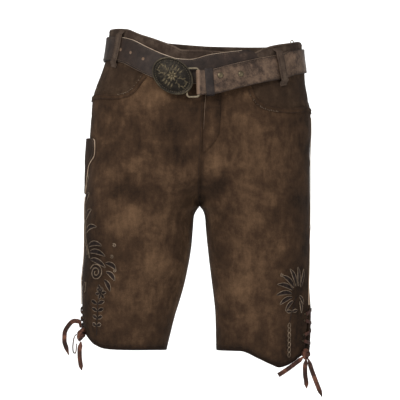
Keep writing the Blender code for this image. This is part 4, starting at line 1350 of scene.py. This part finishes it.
def buckle_plate():
    """An oval, domed plate with a rope rim, and on it a made-up flower between sprays of leaves."""
    long, short, out = plate_axes()
    turn = full_turn(144)
    field = np.array(PLATE_PROFILE[4:])[::-1]
    shares = np.linspace(0.9, 0.04, 20)
    inner = zip(shares, smooth_line(field[:, 0], field[:, 1], shares))
    rings, tones = [], []
    for share, height in (*PLATE_RIM, *inner):
        rope = 0.34 * np.sin(turn * 64 + share * 40) * bell(share - 0.953, 0.022)
        flat = np.outer(np.cos(turn) * PLATE_HALF[0], long) + np.outer(np.sin(turn) * PLATE_HALF[1], short)
        rings.append(PLATE_CENTRE + flat * share + np.outer(height + rope, out))
        tones.append(np.full(144, -0.05 if share > 0.93 else -0.6) + rope)
    plate = Batch()
    plate.rings(rings, tone=np.array(tones))
    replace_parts(plate.piece("buckle_plate_metal", "brass"), "buckle_plate")
    relief, beads = Batch(), Batch()
    for i in range(52):
        t = 2 * np.pi * i / 52
        relief_bead(beads, 39 * 0.85 * np.cos(t), 28.6 * 0.85 * np.sin(t), 0.7)
    for first, foot, length, width, height in ((22.5, 2.0, 8.6, 4.4, 1.1), (0, 1.5, 5.6, 3.0, 1.5)):
        for i in range(8):
            angle = 45 * i + first
            t = np.radians(angle)
            relief_leaf(relief, foot * np.cos(t), foot * np.sin(t), angle, length, width, height)
    relief_bead(relief, 0, 0, 2.2)
    for i in range(6):
        t = np.pi * i / 3
        relief_bead(relief, 2.2 * np.cos(t), 2.2 * np.sin(t), 0.8)
    for mirror in (1, -1):
        for level in (1, -1):
            line = np.array([(mirror * a, level * b) for a, b in SPRAY_STEM])
            fine = through(np.column_stack([line, np.zeros(len(line))]), 30)
            relief.tube(on_plate(fine[:, 0], fine[:, 1], np.full(30, 0.3)), 0.55, 8, out=out, tone=0.5)
            for at, bend, size in SPRAY_LEAVES:
                step = fine[at + 1] - fine[at]
                turn = bend * mirror * level
                heading = np.degrees(np.arctan2(step[1], step[0])) + turn
                relief_leaf(relief, fine[at, 0], fine[at, 1], heading, size, 2.6, 0.8, -turn * 0.5)
    for mirror in (1, -1):
        for start, heading, size in SHORT_LEAVES:
            relief_leaf(relief, start, mirror * 10.5, mirror * heading, size, 3.4, 0.9)
    relief.piece("buckle_relief", "brass")
    beads.piece("buckle_beads", "brass")


RIVET_PROFILE = (
    (5.0, 0), (5.0, 0.6), (4.7, 1.05), (4.2, 1.5), (3.4, 1.9), (2.6, 2.1), (1.6, 2.25), (0.6, 2.3)
)
RIVETS = (("belt_rivet_1", 350.2, 7.0), ("belt_rivet_2", 337.5, 1.5))


def rivets():
    turn = full_turn(36)
    for name, run, drop in RIVETS:
        centre, up = belt_line([run - 1, run, run + 1])
        along = unit(centre[2] - centre[0])
        width = square_to(along, up[1])
        out = unit(np.cross(along, width))
        out = -out if out[1] > 0 else out
        base = centre[1] + width * drop + out * (BELT_THICK / 2 + 0.3)
        side = unit(np.cross(out, np.array([0.1, 0.2, 1.0])))
        other = np.cross(out, side)
        loop = circle(turn, side, other)
        cap = Batch()
        cap.rings([base + loop * radius + out * height for radius, height in RIVET_PROFILE], tone=0.55)
        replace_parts(cap.piece(name + "_cap", "brass"), name)


LOOP_HALF = 7.0
LOOP_THICK = 2.0
# How far a loop stands off along its length, from 0 on the leather to 1 over the belt.
LOOP_STEPS = (0, 0.05, 0.07, 0.09, 0.11, 0.13, 0.87, 0.89, 0.91, 0.93, 0.95, 1)
LOOP_RISE = (0, 0, 0.2, 0.55, 0.85, 1, 1, 0.85, 0.55, 0.2, 0, 0)
# Each loop: the angle and height of its top, then of its foot, and how far it stands off.
BELT_LOOPS = (
    ("loop_front_right", -61.4, 3.5, -64.5, -61, 4.8),
    ("loop_front_left", 49.5, -30, 53, -95, 8.2),
    ("loop_back_right", -130, 1, -130, -62, 4.8),
    ("loop_back_centre", 180, -5, 180, -67, 4.8),
    ("loop_back_left", 130, -9, 130, -71, 4.8),
)


def belt_loops():
    share = np.linspace(0, 1, 70)
    raised = np.interp(share, LOOP_STEPS, LOOP_RISE)
    for name, top_angle, top, low_angle, low, stand_off in BELT_LOOPS:
        angle = top_angle + (low_angle - top_angle) * share
        z = top + (low - top) * share
        lift = LAY_GAP + 1.0 + (stand_off - LAY_GAP) * raised
        centre, out = waist_frame(angle, z)
        centre = centre + out * lift[:, None]
        across = unit(waist(angle + 1, z, lift) - waist(angle - 1, z, lift))
        piece = strap(name + "_leather", centre, across, np.full(70, LOOP_HALF), LOOP_THICK, "band", 0.2)
        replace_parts(piece, name)
        rows = Batch()
        for away in (-4.6, 4.6):
            stitch_line(rows, centre + across * away, out, lift=1.05)
        rows.piece(name + "_stitches", "dark_thread")


def waist_ring():
    angle, radius, wire = 66.5, 4.6, 0.9
    z = float(WAIST_TOP.read("z", angle)) - 0.5
    lift = -WALL - 0.4 - wire

    def at(angle, z):
        return waist(np.array(angle), np.array(z), lift)

    middle = at(angle, z)
    right = unit(at(angle + 1, z) - at(angle - 1, z))
    up = unit(at(angle, z + 1) - at(angle, z - 1))
    turn = full_turn(40)
    path = middle + radius * circle(turn, right, up)
    batch = Batch()
    batch.tube(path, wire, 12, closed=True, out=np.cross(right, up), tone=0.6)
    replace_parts(batch.piece("waist_ring_wire", "relief"), "waist_ring")


WELT_HALF = 2.0
WELT_TOPS = {"right": -288, "left": -146}


def side_welts():
    for side, top in WELT_TOPS.items():
        z = np.linspace(top, SLIT_TOP + 2, 120)
        points, out = skin_frame(side, np.zeros(120), z)
        centre = points + out * (LAY_GAP + 0.7)
        across = np.cross(out, np.gradient(centre, axis=0))
        half = np.full(120, WELT_HALF)
        piece = strap(f"welt_{side}_leather", centre, across, half, STRIP_THICK, "edge", -0.1)
        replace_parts(piece, "welt_" + side)


LACING = {
    "right": ((-491, 3), (-506, -3), (-519, 2)),
    "left": ((-492, 3), (-510, -3), (-529, 3), (-546, -3)),
}


def lacing():
    share = np.linspace(-1, 1, 25)
    for side, rows in LACING.items():
        eyelets = Batch()
        for i, (z, slope) in enumerate(rows, 1):
            u = share * 13 / GIRTH
            lift = LAY_GAP + 1.4 * (1 - share**2)
            points, out = skin_frame(side, u, z + share * slope)
            centre = points + out * (lift + LACE_THICK / 2)[:, None]
            across = np.tile([0, 0, 1.0], (25, 1))
            name = f"lacing_{side}_{i}"
            piece = strap(name + "_thong", centre, across, np.full(25, 3.0), LACE_THICK, "lace", -0.2)
            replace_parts(piece, name)
            for end in (-1, 1):
                hole, away = skin_frame(side, np.array(end * 15.5 / GIRTH), np.array(z + end * slope))
                rim = unit(np.cross(away, [0, 0, 1.0]))
                turn = full_turn(18)
                loop = circle(turn, rim, np.cross(away, rim))
                eyelets.tube(hole + away * 0.5 + 1.5 * loop, 0.42, 8, closed=True, out=away, tone=0.4)
        eyelets.piece("eyelets_" + side, "brass")


# Each turn of a knot: its level, tilt, half width and how far it lies off the core.
KNOT_WRAPS = ((-0.42, 18, 3.0, 0.15), (0.1, -22, 3.3, 0.9), (0.5, 12, 2.7, 0.3), (-0.05, 62, 2.6, 1.3))


def knots():
    """Each knot: a core with the thong wound round it in tilted turns."""
    for side in SIDES:
        middle, (across, deep, up), half = knot_frame(side)
        core = Batch()
        turn = full_turn(24)
        loop = np.outer(np.cos(turn) * half[0], across) + np.outer(np.sin(turn) * half[1], deep)
        levels = np.radians(np.linspace(-82, 82, 15))
        rings = [middle + 0.86 * (loop * np.cos(t) + up * half[2] * np.sin(t)) for t in levels]
        # The core is darker than the wound thong: painted shade in the gaps between the turns.
        core.rings(rings, tone=-0.6)
        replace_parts(core.piece(f"knot_{side}_core", "lace"), "knot_" + side)
        wound = Batch()
        for level, tilt, width, lift in KNOT_WRAPS:
            t = full_turn(60)
            slope = np.tan(np.radians(tilt)) * half[0] / half[2]
            height = np.clip(level + slope * np.cos(t + 0.6), -0.93, 0.93)
            reach = np.sqrt(1 - height**2)
            base = np.outer(np.cos(t) * half[0] * reach, across)
            base += np.outer(np.sin(t) * half[1] * reach, deep)
            base += np.outer(height * half[2], up)
            away = unit(base / half[0])
            path = middle + base * 0.9 + away * lift
            along = unit(np.roll(path, -1, axis=0) - np.roll(path, 1, axis=0))
            side_way = np.cross(along, away)
            flat = full_turn(14)
            wide = np.sign(np.cos(flat)) * abs(np.cos(flat)) ** 0.5 * width
            thick = np.sign(np.sin(flat)) * abs(np.sin(flat)) ** 0.7 * 0.8
            rings = path[:, None] + side_way[:, None] * wide[:, None] + away[:, None] * thick[:, None]
            wound.rings(rings, closed=True, tone=0.1 * tilt / 20)
        wound.piece(f"knot_{side}_thong", "lace")


# Seam and hem stitches, and the embroidery


def seam_stitches():
    for side in SIDES:
        rows = Batch()
        for sign in (-1, 1):
            u = sign * np.linspace(0.045, 0.985, 120)
            points, out = skin_frame(side, u, HEM[side].read("z", u) + 9)
            stitch_line(rows, points, out)
        seams = [("back", 1, 5.5, np.linspace(-70, -300, 100))]
        if side == "right":
            seams.append(("front", -1, 5.0, np.linspace(-90, -300, 70)))
        for face, sign, away, z in seams:
            points, out = skin_frame(side, sign * (1 - away / half_girth(side, face, z)), z)
            stitch_line(rows, points + out * 0.45, out)
        rows.piece(f"seam_stitches_{side}", "dark_thread")


SATIN_PITCH = 1.05


def satin_leaf(batches, side, u, z, angle, length, width, bend=0.0):
    """A leaf of slanting dark stitches with a pale cord round it. Its angle is 0 to the middle, 90 up."""
    fill, cord = batches
    count = max(6, int(length / SATIN_PITCH))
    share = (np.arange(count) + 0.5) / count
    heading = np.radians(angle + bend * share)
    x = (np.cos(heading) * length / count).cumsum()
    y = (np.sin(heading) * length / count).cumsum()
    half = width / 2 * np.sin(np.pi * share**0.75) ** 0.8
    lean = np.radians(35)
    edges = []
    for hand in (-1, 1):
        bx = x + half * (np.cos(heading) * np.sin(lean) - hand * np.sin(heading) * np.cos(lean)) * 1.15
        by = y + half * (np.sin(heading) * np.sin(lean) + hand * np.cos(heading) * np.cos(lean)) * 1.15
        start, out = skin_frame(side, -(abs(u) + x / GIRTH), z + y)
        end, away = skin_frame(side, -(abs(u) + bx / GIRTH), z + by)
        fill.capsules(start + out * 0.3, end + out * 0.1, out, 0.5, 0.55, 5)
        edges.append(end + away * 0.35)
    tip, away = skin_frame(side, -(abs(u) + x[-1:] / GIRTH), z + y[-1:])
    outline = np.concatenate([edges[0], tip + away * 0.35, edges[1][::-1]])
    out = np.tile(away[0], (len(outline), 1))
    cord.tube(outline, 0.5, 6, out=out)


def satin_line(batch, side, places, width=2.4, pitch=1.2, radius=0.42):
    """A stem of short stitches slanting over its line."""
    line, out = skin_line(side, places, 0.25)
    start, away = spaced(line, out, pitch)
    along = unit(np.gradient(start, axis=0))
    across = np.cross(away, along) * width / 2
    batch.capsules(start - across - along * 0.7, start + across + along * 0.7, away, radius, 0.3, 5)


def spiral(u, z, large, small, turns, first):
    """Places of a scroll that winds in round (u, z)."""
    t = np.linspace(first, first + turns * 2 * np.pi, int(14 * turns))
    r = np.linspace(large, small, len(t))
    return [(u + a * np.cos(b) / GIRTH, z + a * np.sin(b)) for a, b in zip(r, t)]


RIGHT_LEAVES = (
    (0.075, -268, 66, 26, 8, -30), (0.085, -300, 60, 30, 9, -40), (0.1, -330, 70, 32, 9, -60),
    (0.13, -352, 62, 34, 9, -80), (0.09, -350, 118, 26, 8, 40), (0.15, -376, 40, 36, 9, -70),
    (0.16, -386, 22, 40, 9, -60), (0.17, -398, 6, 40, 9, -50), (0.12, -392, 100, 30, 8, 50),
    (0.3, -404, 10, 24, 8, -70), (0.31, -418, -12, 24, 8, -60), (0.3, -432, -34, 24, 8, -50),
    (0.13, -436, 232, 22, 8, 40), (0.26, -440, -62, 20, 8, -30),
)
LEFT_LEAVES = (
    (0.13, -448, 118, 34, 8, -30), (0.15, -446, 98, 36, 8, -34), (0.17, -446, 78, 38, 8, -38),
    (0.19, -448, 58, 38, 8, -40), (0.2, -452, 40, 38, 8, -44), (0.205, -458, 20, 36, 8, -46),
    (0.2, -464, 0, 32, 8, -46), (0.19, -470, -24, 26, 7, -40), (0.14, -462, 200, 22, 7, 50),
    (0.13, -470, 232, 24, 7, 40),
)


RIGHT_STEM = (
    (-0.06, -246), (-0.085, -272), (-0.07, -300), (-0.1, -330), (-0.12, -362), (-0.16, -396)
)


def embroidery():
    fill, cord = Batch(), Batch()
    side = "right"
    for leaf in RIGHT_LEAVES:
        satin_leaf((fill, cord), side, *leaf)
    satin_line(cord, side, spiral(-0.235, -420, 15.5, 2.2, 2.1, 0.4), 2.0, 1.1, 0.4)
    satin_line(fill, side, spiral(-0.235, -420, 11.6, 4, 1.5, 0.4), 2.6, 1.1, 0.5)
    for u, z in ((-0.36, -372), (-0.345, -392), (-0.37, -416)):
        satin_line(cord, side, spiral(u, z, 3.4, 1.0, 1.4, 1.0), 1.4, 1.0, 0.34)
    satin_line(cord, side, RIGHT_STEM)
    for i in range(6):
        satin_leaf((fill, cord), side, 0.277, -456, 60 * i + 10, 11, 6)
    satin_line(fill, side, ((-0.262, -464), (-0.25, -482), (-0.242, -500), (-0.24, -520), (-0.236, -532)))
    for i, z in enumerate((-476, -489, -502, -515)):
        size = 16 - 1.6 * i
        satin_leaf((fill, cord), side, 0.25 - 0.003 * i, z, 30, size, 7, -18)
        satin_leaf((fill, cord), side, 0.25 - 0.003 * i, z, 150, size, 7, 18)
    fill.piece("embroidery_right_satin", "dark_thread")
    cord.piece("embroidery_right_cord", "light_thread")
    fill, cord = Batch(), Batch()
    side = "left"
    for leaf in LEFT_LEAVES:
        satin_leaf((fill, cord), side, *leaf)
    satin_line(cord, side, spiral(-0.3, -424, 3.6, 1.0, 1.4, 2.0), 1.4, 1.0, 0.34)
    satin_line(fill, side, ((-0.165, -462), (-0.19, -480), (-0.208, -496), (-0.216, -508)))
    satin_leaf((fill, cord), side, 0.2, -490, 14, 13, 6, -20)
    satin_leaf((fill, cord), side, 0.2, -490, 160, 13, 6, 20)
    for i, z in enumerate(np.linspace(-514, -566, 7)):
        u = -(0.217 - 0.0035 * i)
        ring = [(u + 3.4 * np.cos(t) / GIRTH, z + 4.6 * np.sin(t)) for t in np.linspace(0, 2 * np.pi, 13)]
        satin_line(cord, side, ring, 1.5, 1.1, 0.34)
    fill.piece("embroidery_left_satin", "dark_thread")
    cord.piece("embroidery_left_cord", "light_thread")


def main():
    lace_ends()
    studio()
    sweep()
    for side in SIDES:
        for face in ("front", "back"):
            panel(side, face)
        hip_piece(side)
        pocket_band(side)
    fly_flap()
    knife_pocket()
    waistband()
    belt()
    keeper()
    buckle_ring()
    buckle_plate()
    rivets()
    belt_loops()
    waist_ring()
    side_welts()
    lacing()
    knots()
    seam_stitches()
    embroidery()
    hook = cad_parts["buckle_hook"]
    for i in range(len(hook.data.materials)):
        hook.data.materials[i] = MATERIALS["steel"].material


main()
